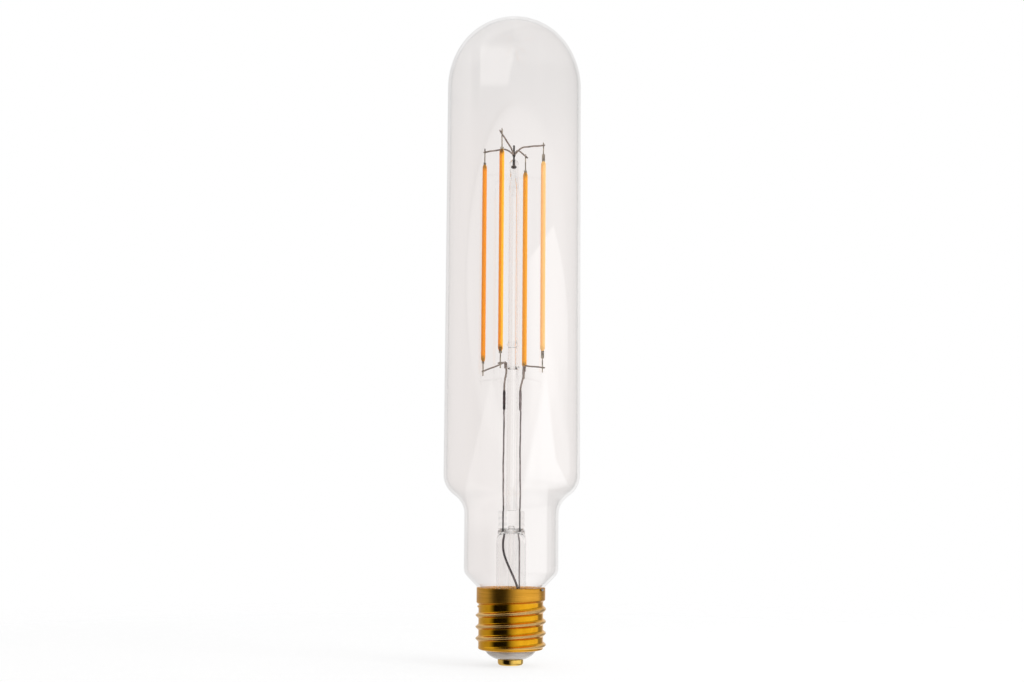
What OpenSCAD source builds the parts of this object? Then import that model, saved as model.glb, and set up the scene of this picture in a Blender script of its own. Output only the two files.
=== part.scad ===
// Tubular filament lamp with light emitting strips and a large screw cap.
// All lengths are in millimetres. The lamp stands along +Z with the tip of its centre contact at the origin.
// +X is the right side of the lamp as seen from its front, and -Y points to the front.

/* [Glass envelope] */
// Length of the whole lamp from the centre contact to the top of the dome
overall_length = 368; // [330:0.5:400]
// Outer radius of the straight tube
tube_radius = 38.2; // [36:0.1:42]
// Outer radius of the neck between the tube and the cap
neck_radius = 26.3; // [25:0.1:28]
// Thickness of the glass
glass_wall = 1.6; // [1.2:0.1:2]
// Length by which the radius of the dome's side curve is larger than the tube's radius
dome_side_extra = 6; // [2:0.5:9]
// Height of the centre of the dome's crown above the top of the straight tube
dome_crown_rise = 4; // [3:0.1:9]
// Height at which the shoulder ends and the straight tube begins
shoulder_top = 105.2; // [101:0.2:111]
// Steepest angle of the shoulder away from the axis, in degrees
shoulder_angle = 52; // [44:1:56]
// Share of the shoulder's step that its outer rounding takes
shoulder_edge_share = 0.45; // [0.35:0.01:0.48]
// Share of the shoulder's step that the hollow rounding at the neck takes
shoulder_foot_share = 0.39; // [0.3:0.01:0.46]
// Gap between the sloping glass and the inside of the cap's rim
neck_rim_gap = 0.12; // [0.05:0.01:0.4]
// Angle away from the axis of the glass between the neck and the cap, in degrees
neck_angle = 44; // [40:0.5:47]
// Radius of the rounding at the lower edge of the neck
neck_corner_radius = 6.6; // [4:0.1:8]
// Radius of the hollow rounding above the throat
throat_foot_radius = 3; // [2:0.1:4]
// Outer radius of the throat that sits inside the cap
throat_radius = 16.6; // [16:0.1:16.8]
// Height of the lower end of the throat, where the stem is sealed in
throat_bottom = 31.2; // [29:0.1:32.4]

/* [Glass stem] */
// Outer radius of the flare tube
flare_radius = 8.3; // [7.6:0.1:8.6]
// Thickness of the flare tube
flare_wall = 1.2; // [1:0.1:1.4]
// Distance of the centre of the flare tube's round end below the pinch
flare_end_drop = 5.4; // [4.6:0.1:6.8]
// Width of the pinch across the two leads
pinch_width = 14.6; // [13.4:0.1:15.6]
// Thickness of the pinch from front to back
pinch_thickness = 6.4; // [5.8:0.1:7]
// Height of the lower end of the pinch
pinch_bottom = 72.8; // [71.8:0.1:73.8]
// Height of the pinch itself
pinch_height = 12.1; // [11.2:0.1:15.2]
// Outer radius of the exhaust tube
exhaust_radius = 1.9; // [1.6:0.1:2]
// Bore radius of the exhaust tube, the pinch and the vent
exhaust_bore = 1.1; // [0.8:0.1:1.2]
// Height of the melted lower tip of the exhaust tube
exhaust_tip = 36; // [34:0.5:42]
// Depth by which the exhaust tube sits in the pinch
exhaust_depth = 4; // [3:0.5:6]
// Outer radius of the column above the pinch
column_radius = 3.9; // [3.6:0.1:4]
// Thickness of the column's glass
column_wall = 0.8; // [0.6:0.05:0.9]
// Height of the rim at the top of the column
column_top = 166.2; // [164:0.2:171]
// Height of the turned in lip that holds the inner tube
column_lip = 1.6; // [1:0.1:3]
// Distance of the lower end of the column's vent above the pinch
vent_rise = 10.1; // [6:0.1:12]
// Length of the vent
vent_length = 7; // [4:0.5:9]
// Direction of the vent seen from above, in degrees from +X
vent_direction = -50; // [-80:1:-20]
// Outer radius of the inner tube that carries the hub
inner_tube_radius = 2.65; // [2.4:0.05:2.75]
// Thickness of the inner tube
inner_tube_wall = 0.6; // [0.5:0.05:0.8]
// Depth by which the inner tube sits in the column
inner_tube_depth = 1.6; // [1:0.1:12]
// Distance of the domed top of the inner tube below the middle of the hub ball
inner_tube_drop = 2.4; // [1.4:0.1:4.4]
// Length of solid glass at the top of the inner tube
inner_tube_solid = 8; // [7:0.2:12]
// Distance of the middle of the inner tube's bead above the column's rim
bead_rise = 12.2; // [7.8:0.2:23.8]
// Radius of the bead's rounding
bead_round = 1.5; // [1:0.1:1.8]
// Distance by which the bead stands out of the inner tube
bead_stand = 0.5; // [0.2:0.05:0.6]

/* [Filaments] */
// Radius of the circle on which the four filaments stand
filament_circle = 18.1; // [16:0.1:20]
// Direction of the right hand filament seen from above, in degrees from +X
filament_turn = -22; // [-40:1:0]
// Height of the common lower end of the filaments' metal ends
filament_bottom = 169; // [168:0.1:176]
// Height of the common upper end of the filaments' metal ends
filament_top = 285.7; // [283.4:0.1:287.4]
// Distance of each filament above or below the common height: left, front, back and right
filament_lifts = [-0.6, 2.9, -2.7, 1.2]; // [-3:0.1:3]
// Turn of each filament about its own axis, in degrees: left, front, back and right
filament_spins = [0, 0, 0, -60]; // [-90:5:90]
// Length of the metal ends that shows beyond each coat: left, front, back and right
metal_end_lengths = [1.3, 1.3, 1.3, 4.2]; // [1.3:0.1:6]
// Width of a metal end
metal_end_width = 1.7; // [1.5:0.05:1.9]
// Thickness of a metal end
metal_end_depth = 1.1; // [0.9:0.05:1.3]
// Width of the coat across the filament
coat_width = 2.7; // [2.6:0.05:3.2]
// Thickness of the coat
coat_depth = 2.4; // [2:0.05:2.5]
// Length of the tapered end of the coat
coat_taper = 1.6; // [1:0.1:3]
// Radius of the coat at the tip of its taper
coat_tip_radius = 0.72; // [0.66:0.02:0.8]
// Width of the ceramic strip inside the coat
strip_width = 1.1; // [0.9:0.05:1.2]
// Thickness of the ceramic strip inside the coat
strip_depth = 0.5; // [0.4:0.05:0.6]
// Radius of the pins at both ends of a filament
pin_radius = 0.34; // [0.28:0.02:0.4]
// Length of an upper pin above the arm that is welded to it
upper_pin_overhang = 1.6; // [0.6:0.1:3]
// Length of a lower pin below the arm that is welded to it
lower_pin_overhang = 2.6; // [0.6:0.1:4]

/* [Hub and arms] */
// Distance of the middle of the hub ball, where the upper arms meet, above the filaments' common upper end
hub_stand = 2.1; // [1.5:0.1:3.7]
// Radius of the hub ball
hub_ball_radius = 0.95; // [0.9:0.02:1]
// Radius of the hub wire
hub_wire_radius = 0.54; // [0.44:0.02:0.6]
// Length of the hub wire above the middle of the hub ball
hub_wire_rise = 5.9; // [4:0.1:8]
// Distance of the ball at the lower end of the hub wire below the hub ball
hub_anchor_drop = 6.9; // [5.5:0.1:8]
// Radius of the ball at the lower end of the hub wire
hub_anchor_radius = 1.1; // [0.8:0.05:1.3]
// Radius of the wire of the upper arms
upper_arm_radius = 0.47; // [0.4:0.01:0.5]
// Angle at which an upper arm leaves the hub above the level, in degrees
upper_arm_rise = 44; // [36:1:52]
// Slope of the outer part of each upper arm, in degrees: left, front, back and right
upper_arm_slopes = [-3, 23.5, -7, -1]; // [-10:0.5:30]
// Straight length of an upper arm before its bend
upper_arm_start = 2.4; // [1.5:0.1:3]
// Radius of the bend of an upper arm
upper_arm_bend = 7; // [4:0.5:9]
// Length of an arm beyond the pin that is welded to it
arm_overhang = 0.9; // [0.5:0.1:2]
// Radius of the wire of the lower arms
lower_arm_radius = 0.45; // [0.38:0.02:0.5]
// Distance of each lower arm below the lower end of its filament: left, front, back and right
lower_arm_drops = [4.2, 5.5, 2.7, 5.1]; // [2.4:0.1:8]
// Distance of the arms' hooks on the left and right support wire below the filaments' common lower end
hook_drops = [0.8, 2.4]; // [0.4:0.1:6]
// Radius of the bend of a hook
hook_bend = 1.2; // [1:0.1:1.8]
// Length of the straight end of a hook along its support wire
hook_length = 1.8; // [1:0.1:2.4]

/* [Leads] */
// Distance between the two leads
lead_spacing = 9.1; // [8.6:0.1:9.6]
// Radius of the support wires above the splices
support_wire_radius = 0.55; // [0.45:0.05:0.6]
// Distance from the axis of the top of the left and of the right support wire
support_top_places = [4.6, 6.2]; // [4.6:0.1:7.5]
// Turn of the top of the left and of the right support wire about the axis, in degrees
support_top_turns = [41, 0]; // [0:1:45]
// Length of the straight top of the support wires, under their hooks
support_straight = 4.5; // [4.4:0.1:6]
// Distance of the splices below the filaments' common lower end
splice_drop = 16.2; // [14:0.1:19]
// Length of the splices
splice_length = 11.2; // [9:0.1:13]
// Radius of the splices
splice_radius = 0.8; // [0.75:0.05:0.9]
// Radius of the inner leads between the pinch and the splices
inner_lead_radius = 0.5; // [0.4:0.05:0.6]
// Radius of the seal wires inside the pinch
seal_wire_radius = 0.4; // [0.3:0.05:0.5]
// Radius of the thick left outer lead
left_lead_radius = 0.62; // [0.5:0.02:0.65]
// Radius of the thin right outer lead
right_lead_radius = 0.45; // [0.35:0.05:0.55]
// Sideways place of both outer leads at the lower end of the flare
lead_end_side = 4.3; // [3.5:0.1:4.6]
// Distance between the outer leads from front to back at their lower ends
lead_end_gap = 2.6; // [2.2:0.1:3]

/* [Screw cap] */
// Pitch of the round thread
thread_pitch = 6.35; // [6.3:0.01:6.4]
// Outer radius of the thread's crests
thread_crest_radius = 19.55; // [19.5:0.01:19.75]
// Outer radius of the thread's roots
thread_root_radius = 18; // [17.8:0.05:18.1]
// Width of a crest at its foot
thread_crest_width = 4; // [3.4:0.1:5]
// Height of a crest on the +X side of the cap
thread_start = 11.4; // [10:0.05:15]
// Thickness of the brass
shell_wall = 0.45; // [0.35:0.01:0.5]
// Height of the turned in lower lip of the shell
shell_bottom = 8.2; // [8:0.1:8.8]
// Inner radius of the turned in lower lip
lip_radius = 14.3; // [14.2:0.1:14.8]
// Height at which the thread ends and the collar begins
collar_bottom = 34.4; // [33.4:0.1:35.4]
// Height of the rim of the collar
collar_top = 42.6; // [41.6:0.1:44]
// Outer radius of the collar
collar_radius = 19.1; // [18.9:0.05:19.5]
// Number of flats around the threaded part
thread_flats = 54; // [36:2:60]
// Number of rows up the threaded part
thread_rows = 44; // [30:2:48]

/* [Insulator and contact] */
// Outer radius of the insulator's flange above the lip
flange_radius = 16.8; // [16:0.1:17.2]
// Thickness of the insulator's flange
flange_thickness = 2; // [1.5:0.1:2.5]
// Radius of the insulator where it leaves the lip
insulator_radius = 14; // [13.6:0.1:14.1]
// Radius of the insulator at its lower end around the contact
insulator_tip_radius = 8.4; // [8:0.1:9]
// Height of the lower end of the insulator
insulator_bottom = 3.6; // [3.2:0.1:4]
// Radius of the centre contact
contact_radius = 7.1; // [6.5:0.1:7.6]
// Radius of the rounding at the lower edge of the contact
contact_round = 1.6; // [1:0.1:2]
// Radius of the contact's stem in the insulator
contact_stem_radius = 2; // [1.5:0.1:2.5]
// Height of the top of the contact's stem
contact_stem_top = 12.2; // [11.8:0.1:12.6]

/* [Driver] */
// Radius of the round circuit board
board_radius = 16; // [14:0.1:16.8]
// Thickness of the circuit board
board_thickness = 1.6; // [1.2:0.1:2]
// Height of the underside of the circuit board
board_height = 14; // [13.2:0.1:14.5]
// Radius of the electrolytic capacitor
capacitor_radius = 4; // [3:0.1:4.5]
// Length of the electrolytic capacitor, which lies on the board
capacitor_length = 12; // [9:0.5:14]
// Radius of the inductor
inductor_radius = 3.6; // [2.5:0.1:4]
// Height of the inductor
inductor_height = 7; // [4:0.5:9]
// Length and width of the bridge rectifier
rectifier_size = 6; // [4:0.1:6.5]
// Height of the bridge rectifier
rectifier_height = 2.5; // [1.5:0.1:3]
// Length and width of the driver chip
chip_size = 4.6; // [3:0.1:5]
// Height of the driver chip
chip_height = 1.6; // [1:0.1:2]
// Radius of the fusible resistor
fuse_radius = 1.4; // [1:0.1:1.6]
// Length of the fusible resistor
fuse_length = 7; // [4:0.5:8]
// Radius of the two wires between the driver and the cap
cap_wire_radius = 0.25; // [0.2:0.01:0.3]
// Direction of the soldered wire end on the rim seen from above, in degrees from +X
solder_turn = -28; // [-45:1:-15]
// Radius of the solder on the collar
solder_radius = 0.9; // [0.6:0.05:1]

/* [Hidden] */
// Gap left between pieces that are fused, welded, soldered or cemented
joint_gap = 0.03;
// Smoothness of round faces
$fn = 96;
// Steps in each quarter of a rounded glass outline
arc_steps = 10;
// Sides of the curved outer leads
lead_sides = 12;
// Steps along the curved outer leads
lead_steps = 22;
// Radius of the dome's side curve
dome_side_radius = tube_radius + dome_side_extra;
// Radius of the dome's crown
crown_radius = dome_side_radius - sqrt(pow(dome_side_extra, 2) + pow(dome_crown_rise, 2));
// Height of the top of the straight tube
dome_bottom = overall_length - crown_radius - dome_crown_rise;
// Direction in which the crown meets the side curve, from the level
crown_angle = atan2(dome_crown_rise, dome_side_extra);
// Radius of the rounding at the outer edge of the shoulder
shoulder_edge_radius = shoulder_edge_share * (tube_radius - neck_radius) / (1 - cos(shoulder_angle));
// Radius of the hollow rounding where the shoulder meets the neck
shoulder_foot_radius = shoulder_foot_share * (tube_radius - neck_radius) / (1 - cos(shoulder_angle));
// Length of the straight slope of the shoulder
shoulder_slope = (tube_radius - neck_radius - (shoulder_edge_radius + shoulder_foot_radius)
    * (1 - cos(shoulder_angle))) / sin(shoulder_angle);
// Height at which the neck ends and the shoulder begins
shoulder_bottom = shoulder_top - (shoulder_edge_radius + shoulder_foot_radius) * sin(shoulder_angle)
    - shoulder_slope * cos(shoulder_angle);
// Height at which the straight part of the neck begins, so that the glass clears the cap's rim
neck_corner_height = collar_top + neck_corner_radius * sin(neck_angle)
    + (neck_radius - neck_corner_radius * (1 - cos(neck_angle)) - collar_radius + shell_wall + neck_rim_gap)
    / tan(neck_angle);
// Length of the straight slope between the neck and the throat
neck_slope = (neck_radius - throat_radius - (neck_corner_radius + throat_foot_radius)
    * (1 - cos(neck_angle))) / sin(neck_angle);
// Height of the upper end of the straight throat
throat_top = neck_corner_height - (neck_corner_radius + throat_foot_radius) * sin(neck_angle)
    - neck_slope * cos(neck_angle);
// Outer radius of the flare's rim inside the throat
flare_rim_radius = throat_radius - glass_wall - joint_gap;
// Radius of the flare's outward curve
flare_curve = flare_rim_radius - flare_radius;
// Height at which the flare tube starts to curve outward
flare_curve_top = throat_bottom + flare_curve + flare_wall;
// Height of the centre of the round end of the flare tube
flare_end_centre = pinch_bottom - flare_end_drop;
// Height of the upper end of the pinch
pinch_top = pinch_bottom + pinch_height;
// Height of the bottom of the vent in the column
vent_bottom = pinch_top + vent_rise;
// Height of the top of the vent
vent_top = vent_bottom + vent_length;
// Inner radius of the column
column_bore = column_radius - column_wall;
// Height of the lower end of the inner tube, inside the column
inner_tube_bottom = column_top - inner_tube_depth;
// Height of the middle of the bead around the inner tube
bead_height = column_top + bead_rise;
// Sideways place of each lead
lead_side = lead_spacing / 2;
// Directions of the filaments seen from above: left, front, back and right
filament_angles = [filament_turn + 180, filament_turn + 270, filament_turn + 90, filament_turn];
// Height of the middle of the hub ball
hub_height = filament_top + hub_stand;
// Height of the domed top of the inner tube
inner_tube_top = hub_height - inner_tube_drop;
// Height of the upper end of the hub wire
hub_wire_top = hub_height + hub_wire_rise;
// Height of the middle of the ball at the lower end of the hub wire
hub_anchor_height = hub_height - hub_anchor_drop;
// Distance from the middle of the hub ball at which an upper arm starts, clear of the ball and its neighbours
upper_arm_first = max(hub_ball_radius + joint_gap,
    (2 * upper_arm_radius + joint_gap) / sqrt(2) / cos(upper_arm_rise));
// Heights of the four upper arms where they cross their pins
upper_arm_heights = [for (slope = upper_arm_slopes)
    let(knee = arm_bend_point(slope)) knee[1] + (filament_circle - knee[0]) * tan(slope)];
// Heights of the four lower arms where they cross their pins
lower_arm_heights = [for (i = [0:3]) filament_bottom + filament_lifts[i] - lower_arm_drops[i]];
// Sideways offset of an arm from the pin that it is welded to
upper_arm_offset = upper_arm_radius + pin_radius + joint_gap;
// Sideways offset of a lower arm from its pin
lower_arm_offset = lower_arm_radius + pin_radius + joint_gap;
// Height of the upper end of the splices
splice_top = filament_bottom - splice_drop;
// Height of the lower end of the splices
splice_bottom = splice_top - splice_length;
// Heights of the tops of the hooks on the left and on the right
hook_heights = [for (drop = hook_drops) filament_bottom - drop];
// Height of the upper face of the circuit board
board_top = board_height + board_thickness;
// Height of the lower ends of the outer leads on the board
lead_bottom = board_top + joint_gap;
// Place of the soldered wire inside the cap, from the axis
shell_wire_place = (thread_root_radius - shell_wall + throat_radius) / 2;

// Every separate piece of the lamp
// Piece to draw, or all of them

// Colours of the materials
glass_colour = [0.86, 0.9, 0.92, 0.3];
brass_colour = [0.79, 0.6, 0.25];
wire_colour = [0.47, 0.42, 0.39];
dark_wire_colour = [0.2, 0.16, 0.15];
coat_colour = [0.98, 0.62, 0.14];
ceramic_colour = [0.84, 0.84, 0.82];
steel_colour = [0.66, 0.64, 0.6];
board_colour = [0.16, 0.36, 0.2];
black_colour = [0.1, 0.1, 0.11];
solder_colour = [0.7, 0.7, 0.69];

// Outline of the lamp glass from the axis outward, moved inward by an inset
module bulb_region(inset) {
    // Straight tube, neck and throat
    translate([0, shoulder_top])
        square([tube_radius - inset, dome_bottom - shoulder_top]);
    translate([0, neck_corner_height])
        square([neck_radius - inset, shoulder_bottom - neck_corner_height]);
    translate([0, throat_bottom])
        square([throat_radius - inset, throat_top - throat_bottom]);
    dome_region(inset);
    slope_region(shoulder_top, tube_radius, shoulder_bottom, neck_radius, shoulder_angle,
        shoulder_edge_radius - inset, shoulder_foot_radius + inset, inset);
    slope_region(neck_corner_height, neck_radius, throat_top, throat_radius, neck_angle,
        neck_corner_radius - inset, throat_foot_radius + inset, inset);
}

// Half outline of the dome: a long side curve that runs into a smaller crown arc
module dome_region(inset) {
    crown_centre = dome_bottom + dome_crown_rise;
    meeting = [2 * tube_radius * cos(crown_angle), crown_centre + 2 * tube_radius * sin(crown_angle)];
    intersection() {
        translate([0, crown_centre])
            circle(r = crown_radius - inset);
        polygon([[0, crown_centre], meeting, [0, overall_length + tube_radius]]);
    }
    intersection() {
        translate([-dome_side_extra, dome_bottom])
            circle(r = dome_side_radius - inset);
        polygon([[0, dome_bottom], [2 * tube_radius, dome_bottom], meeting, [0, crown_centre]]);
    }
}

// Half outline of a slope between two straight parts, with a full edge above and a hollow foot below
module slope_region(top, wide, bottom, narrow, angle, edge, foot, inset) {
    edge_centre = [wide - inset - edge, top];
    foot_centre = [narrow - inset + foot, bottom];
    slope_top = edge_centre + edge * [cos(angle), -sin(angle)];
    slope_end = foot_centre + foot * [-cos(angle), sin(angle)];
    difference() {
        polygon([[0, bottom], [narrow - inset, bottom], slope_end, slope_top,
            [wide - inset, top], [0, top]]);
        translate(foot_centre)
            circle(r = foot);
    }
    intersection() {
        translate(edge_centre)
            circle(r = edge);
        translate([edge_centre[0], top - edge])
            square([edge, edge]);
    }
}

// Hollow lamp glass, closed by the dome and open at the throat
module envelope() {
    color(glass_colour)
        rotate_extrude()
            difference() {
                bulb_region(0);
                bulb_region(glass_wall);
                translate([0, throat_bottom - glass_wall])
                    square([throat_radius - glass_wall, 2 * glass_wall]);
            }
}

// Flare tube with its trumpet rim below and the flat pinch above
module stem_flare() {
    color(glass_colour)
        difference() {
            union() {
                rotate_extrude()
                    flare_region();
                pinch_block();
            }
            // Bore for the gas, and the seat of the exhaust tube
            translate([0, 0, pinch_bottom - exhaust_radius])
                cylinder(h = pinch_top - pinch_bottom + 2 * exhaust_radius, r = exhaust_bore);
            translate([0, 0, pinch_bottom - 2 * exhaust_radius])
                cylinder(h = exhaust_depth + 2 * exhaust_radius, r = exhaust_radius + joint_gap);
            // Channels of the two seal wires
            for (side = [-1, 1])
                translate([side * lead_side, 0, pinch_bottom - flare_radius])
                    cylinder(h = pinch_top - pinch_bottom + 2 * flare_radius,
                        r = seal_wire_radius + joint_gap);
        }
}

// Half outline of the flare tube: trumpet, straight tube and round end
module flare_region() {
    rim_centre = [flare_rim_radius, flare_curve_top];
    difference() {
        intersection() {
            translate(rim_centre)
                circle(r = flare_curve + flare_wall);
            translate([0, throat_bottom])
                square([flare_rim_radius, flare_curve_top - throat_bottom]);
        }
        translate(rim_centre)
            circle(r = flare_curve);
    }
    translate([flare_radius - flare_wall, flare_curve_top])
        square([flare_wall, flare_end_centre - flare_curve_top]);
    intersection() {
        difference() {
            translate([0, flare_end_centre])
                circle(r = flare_radius);
            translate([0, flare_end_centre])
                circle(r = flare_radius - flare_wall);
        }
        translate([0, flare_end_centre])
            square([flare_radius, flare_radius]);
    }
}

// Flat block of glass with round sides in which the leads are sealed
module pinch_block() {
    round_place = (pinch_width - pinch_thickness) / 2;
    translate([0, 0, pinch_bottom])
        linear_extrude(pinch_top - pinch_bottom)
            union() {
                square([2 * round_place, pinch_thickness], center = true);
                for (side = [-1, 1])
                    translate([side * round_place, 0])
                        circle(d = pinch_thickness);
            }
}

// Thin tube through which the lamp was filled, melted shut at its lower tip
module exhaust_tube() {
    tube_end = exhaust_tip + exhaust_radius;
    color(glass_colour)
        rotate_extrude() {
            translate([exhaust_bore, tube_end])
                square([exhaust_radius - exhaust_bore,
                    pinch_bottom + exhaust_depth - joint_gap - tube_end]);
            difference() {
                intersection() {
                    translate([0, tube_end])
                        circle(r = exhaust_radius);
                    translate([0, exhaust_tip])
                        square([exhaust_radius, exhaust_radius]);
                }
                translate([0, tube_end])
                    circle(r = exhaust_bore);
            }
        }
}

// Wider tube above the pinch, with a vent in its side and a lip that holds the inner tube
module stem_column() {
    slot = exhaust_bore;
    color(glass_colour)
        difference() {
            rotate_extrude() {
                translate([column_bore, pinch_top + joint_gap])
                    square([column_wall, column_top - pinch_top - joint_gap]);
                translate([inner_tube_radius + joint_gap, column_top - column_lip])
                    square([column_radius - inner_tube_radius - joint_gap, column_lip]);
            }
            rotate([0, 0, vent_direction]) {
                for (height = [vent_bottom + slot, vent_top - slot])
                    translate([0, 0, height])
                        rotate([0, 90, 0])
                            cylinder(h = 2 * column_radius, r = slot);
                translate([0, -slot, vent_bottom + slot])
                    cube([2 * column_radius, 2 * slot, vent_top - vent_bottom - 2 * slot]);
            }
        }
}

// Slim inner tube with a domed top, a bead and a socket for the hub wire
module inner_tube() {
    dome_centre = inner_tube_top - inner_tube_radius;
    color(glass_colour)
        difference() {
            rotate_extrude()
                inner_tube_region(dome_centre);
            translate([0, 0, hub_anchor_height])
                sphere(r = hub_anchor_radius + joint_gap);
            translate([0, 0, hub_anchor_height])
                cylinder(h = inner_tube_top - hub_anchor_height + hub_ball_radius,
                    r = hub_wire_radius + joint_gap);
        }
}

// Half outline of the inner tube with its bead
module inner_tube_region(dome_centre) {
    translate([inner_tube_radius - inner_tube_wall, inner_tube_bottom])
        square([inner_tube_wall, dome_centre - inner_tube_bottom]);
    translate([0, inner_tube_top - inner_tube_solid])
        square([inner_tube_radius, inner_tube_solid - inner_tube_radius]);
    intersection() {
        translate([0, dome_centre])
            circle(r = inner_tube_radius);
        translate([0, dome_centre])
            square([inner_tube_radius, inner_tube_radius]);
    }
    intersection() {
        translate([inner_tube_radius + bead_stand - bead_round, bead_height])
            circle(r = bead_round);
        translate([inner_tube_radius - inner_tube_wall, bead_height - bead_round])
            square([inner_tube_wall + bead_stand, 2 * bead_round]);
    }
}

// Upright hub wire with the ball where the arms meet and an anchor ball in the glass
module hub_wire() {
    color(dark_wire_colour)
        union() {
            translate([0, 0, hub_anchor_height])
                cylinder(h = hub_wire_top - hub_anchor_height, r = hub_wire_radius);
            translate([0, 0, hub_anchor_height])
                sphere(r = hub_anchor_radius);
            translate([0, 0, hub_height])
                sphere(r = hub_ball_radius);
        }
}

// Distance from the axis and height of an upper arm where its bend has come down to a slope
function arm_bend_point(slope) =
    let(run = upper_arm_first + upper_arm_start)
    [run * cos(upper_arm_rise) + upper_arm_bend * (sin(upper_arm_rise) - sin(slope)),
        hub_height + run * sin(upper_arm_rise) + upper_arm_bend * (cos(slope) - cos(upper_arm_rise))];

// Wire arm that rises from the hub, bends to its own slope and runs past the pin of its filament
module upper_arm(i) {
    side_turn = asin(upper_arm_offset / filament_circle);
    slope = upper_arm_slopes[i];
    bend_points = [for (k = [0:arc_steps])
        let(knee = arm_bend_point(upper_arm_rise + (slope - upper_arm_rise) * k / arc_steps))
        [knee[0], 0, knee[1]]];
    color(wire_colour)
        rotate([0, 0, filament_angles[i] - side_turn])
            curved_wire(concat(
                [[upper_arm_first * cos(upper_arm_rise), 0,
                    hub_height + upper_arm_first * sin(upper_arm_rise)]],
                bend_points,
                [[filament_circle + arm_overhang, 0, upper_arm_heights[i] + arm_overhang * tan(slope)]]),
                upper_arm_radius, [0, 1, 0]);
}

// Moves its children to the axis of a filament, turned and lifted as that filament is
module at_filament(i) {
    rotate([0, 0, filament_angles[i]])
        translate([filament_circle, 0, filament_lifts[i]])
            rotate([0, 0, filament_spins[i]])
                children();
}

// Phosphor coat of a filament, with a channel for the strip and tapered ends
module filament_coat(i) {
    coat_bottom = filament_bottom + metal_end_lengths[i];
    coat_top = filament_top - metal_end_lengths[i];
    side = (coat_width - coat_depth) / 2;
    color(coat_colour)
        at_filament(i)
            difference() {
                union() {
                    translate([0, 0, coat_bottom + coat_taper])
                        linear_extrude(coat_top - coat_bottom - 2 * coat_taper)
                            union() {
                                square([coat_depth, 2 * side], center = true);
                                for (place = [-side, side])
                                    translate([0, place])
                                        circle(d = coat_depth);
                            }
                    for (place = [-side, side]) {
                        translate([0, place, coat_bottom])
                            cylinder(h = coat_taper, r1 = coat_tip_radius, r2 = coat_depth / 2);
                        translate([0, place, coat_top - coat_taper])
                            cylinder(h = coat_taper, r1 = coat_depth / 2, r2 = coat_tip_radius);
                    }
                }
                translate([0, 0, (coat_bottom + coat_top) / 2])
                    cube([strip_depth + 2 * joint_gap, strip_width + 2 * joint_gap,
                        coat_top - coat_bottom + coat_taper], center = true);
            }
}

// Ceramic strip with the row of light emitting chips, inside the coat
module filament_strip(i) {
    strip_length = filament_top - filament_bottom - 2 * metal_end_lengths[i];
    color(ceramic_colour)
        at_filament(i)
            translate([0, 0, (filament_bottom + filament_top) / 2])
                cube([strip_depth, strip_width, strip_length], center = true);
}

// Metal end of a filament with its pin, from the coat up or down to the tip of the pin
module metal_end(i, block_bottom, pin_start, pin_end) {
    color(steel_colour)
        at_filament(i)
            union() {
                translate([-metal_end_depth / 2, -metal_end_width / 2, block_bottom])
                    cube([metal_end_depth, metal_end_width, metal_end_lengths[i] - joint_gap]);
                translate([0, 0, pin_start])
                    cylinder(h = pin_end - pin_start, r = pin_radius);
            }
}

// Upper metal end and pin of a filament, which reaches past its upper arm
module top_end(i) {
    metal_end(i, filament_top - metal_end_lengths[i] + joint_gap, filament_top - metal_end_depth,
        upper_arm_heights[i] + upper_pin_overhang - filament_lifts[i]);
}

// Lower metal end and pin of a filament, which reaches past its lower arm
module bottom_end(i) {
    metal_end(i, filament_bottom, lower_arm_heights[i] - lower_pin_overhang - filament_lifts[i],
        filament_bottom + metal_end_depth);
}

// Place of the top of a support wire, seen from above: side 0 is left and 1 is right
function support_top(side) =
    let(angle = (side == 0 ? 180 : 0) + support_top_turns[side])
    support_top_places[side] * [cos(angle), sin(angle)];

// Lower arm from just past a filament's pin, up to a hook that turns down along its support wire
module lower_arm(i, side) {
    along = filament_angles[i] + (side == 0 ? -1 : 1) * asin(lower_arm_offset / filament_circle);
    pin = filament_circle * [cos(along), sin(along)];
    outward = (pin - support_top(side)) / norm(pin - support_top(side));
    leg = support_top(side) + (support_wire_radius + lower_arm_radius + joint_gap) * outward;
    reach = norm(pin - leg);
    climb = hook_heights[side] - lower_arm_heights[i];
    slope = atan2(climb, reach - hook_bend);
    // Points along the arm, each as the distance from the hook's end outward and the height
    line = concat(
        [[reach + arm_overhang, -climb - arm_overhang * tan(slope)], [reach * 0.6, -climb * 0.6]],
        [for (k = [0:6])
            let(angle = (90 - slope) * (1 - k / 6))
            [hook_bend * (1 - cos(angle)), -hook_bend * (1 - sin(angle))]],
        [[0, -hook_bend - hook_length]]);
    color(wire_colour)
        curved_wire([for (place = line)
            [leg[0] + place[0] * outward[0], leg[1] + place[0] * outward[1], hook_heights[side] + place[1]]],
            lower_arm_radius, [-outward[1], outward[0], 0]);
}

// Support wire that rises from a splice and swings out to the hooks of a pair of lower arms
module support_wire(side) {
    top = hook_heights[side] - lower_arm_radius;
    low = splice_top + joint_gap;
    bend_top = top - support_straight;
    color(wire_colour)
        curved_wire(concat([for (k = [0:arc_steps])
            let(share = ease(k / arc_steps), angle = (side == 0 ? 180 : 0) + support_top_turns[side] * share,
                place = lead_side + (support_top_places[side] - lead_side) * share)
            [place * cos(angle), place * sin(angle), low + (bend_top - low) * k / arc_steps]],
            [[support_top(side)[0], support_top(side)[1], top]]),
            support_wire_radius, [0, 1, 0]);
}

// Thick sleeve in which a support wire is welded to an inner lead
module splice(side, tone) {
    color(tone)
        translate([side * lead_side, 0, splice_bottom])
            cylinder(h = splice_top - splice_bottom, r = splice_radius);
}

// Inner lead between the pinch and a splice
module inner_lead(side) {
    color(wire_colour)
        translate([side * lead_side, 0, pinch_top + joint_gap])
            cylinder(h = splice_bottom - pinch_top - 2 * joint_gap, r = inner_lead_radius);
}

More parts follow.
